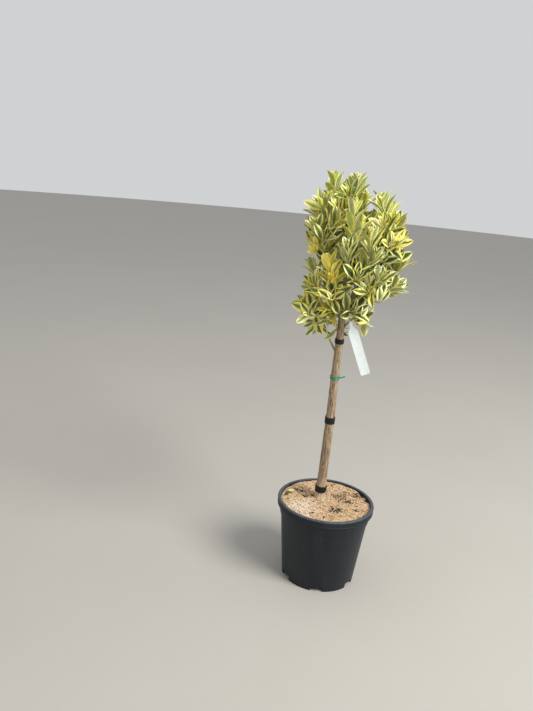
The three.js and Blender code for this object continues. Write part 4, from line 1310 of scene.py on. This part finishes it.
TIE_HEIGHT, WIRE_RADIUS, TIE_TURNS, TIE_SPREAD, TIE_SLANT = 544, 1, 3.5, 11, 1.6
TIE_START, TIE_SLANT_FROM, TIE_KNOT = -0.65, 0.7, np.array([0.8, -0.6, 0])
TAIL_REACH, TAIL_SAG, TAIL_TWISTS = np.array([14.5, -5.5, 7]), 5, 15
TWIST_RADIUS, TWIST_FLATNESS, TAIL_FROM = 0.85 * WIRE_RADIUS, 0.3, 0.08

tie_middle = stem_line.at(stem_share(TIE_HEIGHT))
tie_radius = stem_radius(stem_share(TIE_HEIGHT)) + WIRE_RADIUS
winding = []
for share in np.linspace(0, 1, 34):
    angle = TIE_START + 2 * math.pi * TIE_TURNS * share
    rise = TIE_SPREAD * (share - 0.5) + TIE_SLANT * math.sin(angle + TIE_SLANT_FROM)
    winding.append(tie_middle + np.array([tie_radius * math.cos(angle), tie_radius * math.sin(angle), rise]))
knot = tie_middle + tie_radius * TIE_KNOT
even_wire = thinning(WIRE_RADIUS, 1)
wires = [winding]
for phase in (0, math.pi):
    wires.append([knot])
    for share in np.linspace(TAIL_FROM, 1, 20):
        angle = phase + TAIL_TWISTS * share
        twist = TWIST_RADIUS * np.array([TWIST_FLATNESS * math.sin(angle), math.cos(angle), math.sin(angle)])
        sag = TAIL_SAG * share * (1 - share) * UPWARD
        wires[-1].append(knot + TAIL_REACH * share + twist - sag)
dress(
    tubes_piece("wire_winding", [(curve_through(wire), even_wire, 10, 160) for wire in wires], 60),
    finish(
        "green_wire",
        [(0.014, 0.2, 0.1), (0.05, 0.37, 0.21)],
        patch=7 * MM,
        rough=(0.28, 0.42),
        grain=2 * MM,
        relief=0.03 * MM,
    ),
    "green_wire",
    "wire_tie",
)

# Label: a strip of white plastic with clipped corners, whose narrow neck is looped round the low right bough.
# It is blank. The strip is punched from one sheet and has taken a curl.

LABEL_SHOULDER, LABEL_CURL, LABEL_BOW, LABEL_CLIP, LABEL_SHEET = 0.12, 9, 0.6, 1.6, 0.6
LOOP_SLACK, LOOP_THICKNESS, LOOP_WIDTH, LOOP_STEPS = 0.8, 1, 6, 40
LABEL_DROP, BOW_GROWTH, LABEL_ROWS, ACROSS = 0.4, 3, 41, (-1, -0.5, 0, 0.5, 1)
loop_inner = bough_radius(label_bough, LABEL_PLACE) + SEAT + LOOP_SLACK
hung_from = label_top + label_down * LOOP_SLACK
label_out = np.array([0, -1.0, 0])
label_rows = []
for share in np.linspace(0, 1, LABEL_ROWS):
    widening = min(1, max(0, (share - LABEL_NECK) / LABEL_SHOULDER))
    widening = widening * widening * (3 - 2 * widening)
    width = lerp(LABEL_NECK_WIDTH, LABEL_WIDTH, widening)
    clipped = max(0, LABEL_CLIP - (1 - share) * LABEL_LENGTH)
    label_rows.append((share, width / 2 - clipped))
label_points, label_faces = [], []
for layer in (-0.5, 0.5):
    for share, half in label_rows:
        for across in ACROSS:
            bowed = LABEL_BOW * (1 - across**2) * min(1, share * BOW_GROWTH)
            back = LABEL_CURL * share * share + layer * LABEL_SHEET + bowed
            down = loop_inner + LABEL_DROP + share * LABEL_LENGTH
            flat = hung_from + label_down * down + label_across * half * across
            label_points.append(flat - label_out * back)
rows, columns = LABEL_ROWS, len(ACROSS)
behind = rows * columns  # how much further on the points of the other side are numbered
for a, b, c, d in grid_faces(0, rows, columns):
    label_faces += [(a, d, c, b), (behind + a, behind + b, behind + c, behind + d)]
rim = [(row * columns + i, (row + 1) * columns + i) for row in range(rows - 1) for i in (0, columns - 1)]
rim += [(row * columns + i, row * columns + i + 1) for row in (0, rows - 1) for i in range(columns - 1)]
label_faces += [(a, b, behind + b, behind + a) for a, b in rim]
loop_axis = label_bough["line"].heading(LABEL_PLACE)
loop_side = unit(np.cross(loop_axis, label_down))
loop_down = np.cross(loop_side, loop_axis)
first = len(label_points)
for i in range(LOOP_STEPS):
    angle = 2 * math.pi * i / LOOP_STEPS
    outward = loop_down * math.cos(angle) + loop_side * math.sin(angle)
    for radius, along in ((0, -1), (1, -1), (1, 1), (0, 1)):
        reach = loop_inner + radius * LOOP_THICKNESS
        label_points.append(hung_from + outward * reach + loop_axis * along * LOOP_WIDTH / 2)
for i in range(LOOP_STEPS):
    j = (i + 1) % LOOP_STEPS
    for corner in range(4):
        after = (corner + 1) % 4
        a, b = first + 4 * i, first + 4 * j
        label_faces.append([a + corner, b + corner, b + after, a + after])
label = piece_from("label_strip", label_points, label_faces, 35)
bpy.ops.object.mode_set(mode="EDIT")
bpy.ops.mesh.select_all(action="SELECT")
bpy.ops.mesh.normals_make_consistent(inside=False)
bpy.ops.object.mode_set(mode="OBJECT")
smooth(label, 35)
dress(
    label,
    finish(
        "label_white",
        [(0.68, 0.75, 0.76), (0.74, 0.8, 0.81), (0.77, 0.83, 0.84)],
        patch=18 * MM,
        rough=(0.32, 0.48),
        grain=3 * MM,
        relief=0.05 * MM,
    ),
    "label_plastic",
    "label",
)

# Ground and light: a plain pale floor under even light, with a broad soft lamp from the upper right front.

bpy.ops.object.select_all(action="DESELECT")
bpy.ops.mesh.primitive_circle_add(vertices=96, radius=14, fill_type="NGON", location=(0, 0, -0.0005))
ground = bpy.context.object
ground.name = "ground"
ground.data.materials.append(
    finish(
        "floor",
        [(0.44, 0.42, 0.38), (0.46, 0.44, 0.4)],
        patch=0.6,
        rough=(0.8, 0.95),
        grain=4 * MM,
        relief=0.4 * MM,
    )
)

bpy.context.scene.view_settings.view_transform = "Standard"
sky = bpy.data.worlds.new("sky")
bpy.context.scene.world = sky
sky.use_nodes = True
sky.node_tree.nodes["Background"].inputs["Color"].default_value = (0.87, 0.89, 0.91, 1)
sky.node_tree.nodes["Background"].inputs["Strength"].default_value = 0.72

bpy.ops.object.light_add(type="AREA", location=(2.5, -2, 3.3))
soft_light = bpy.context.object
soft_light.data.shape = "DISK"
soft_light.data.size = 2.4
soft_light.data.energy = 225
soft_light.data.color = (1, 0.98, 0.94)
towards_plant = Vector((0, 0, 0.6)) - soft_light.location
soft_light.rotation_euler = towards_plant.to_track_quat("-Z", "Y").to_euler()
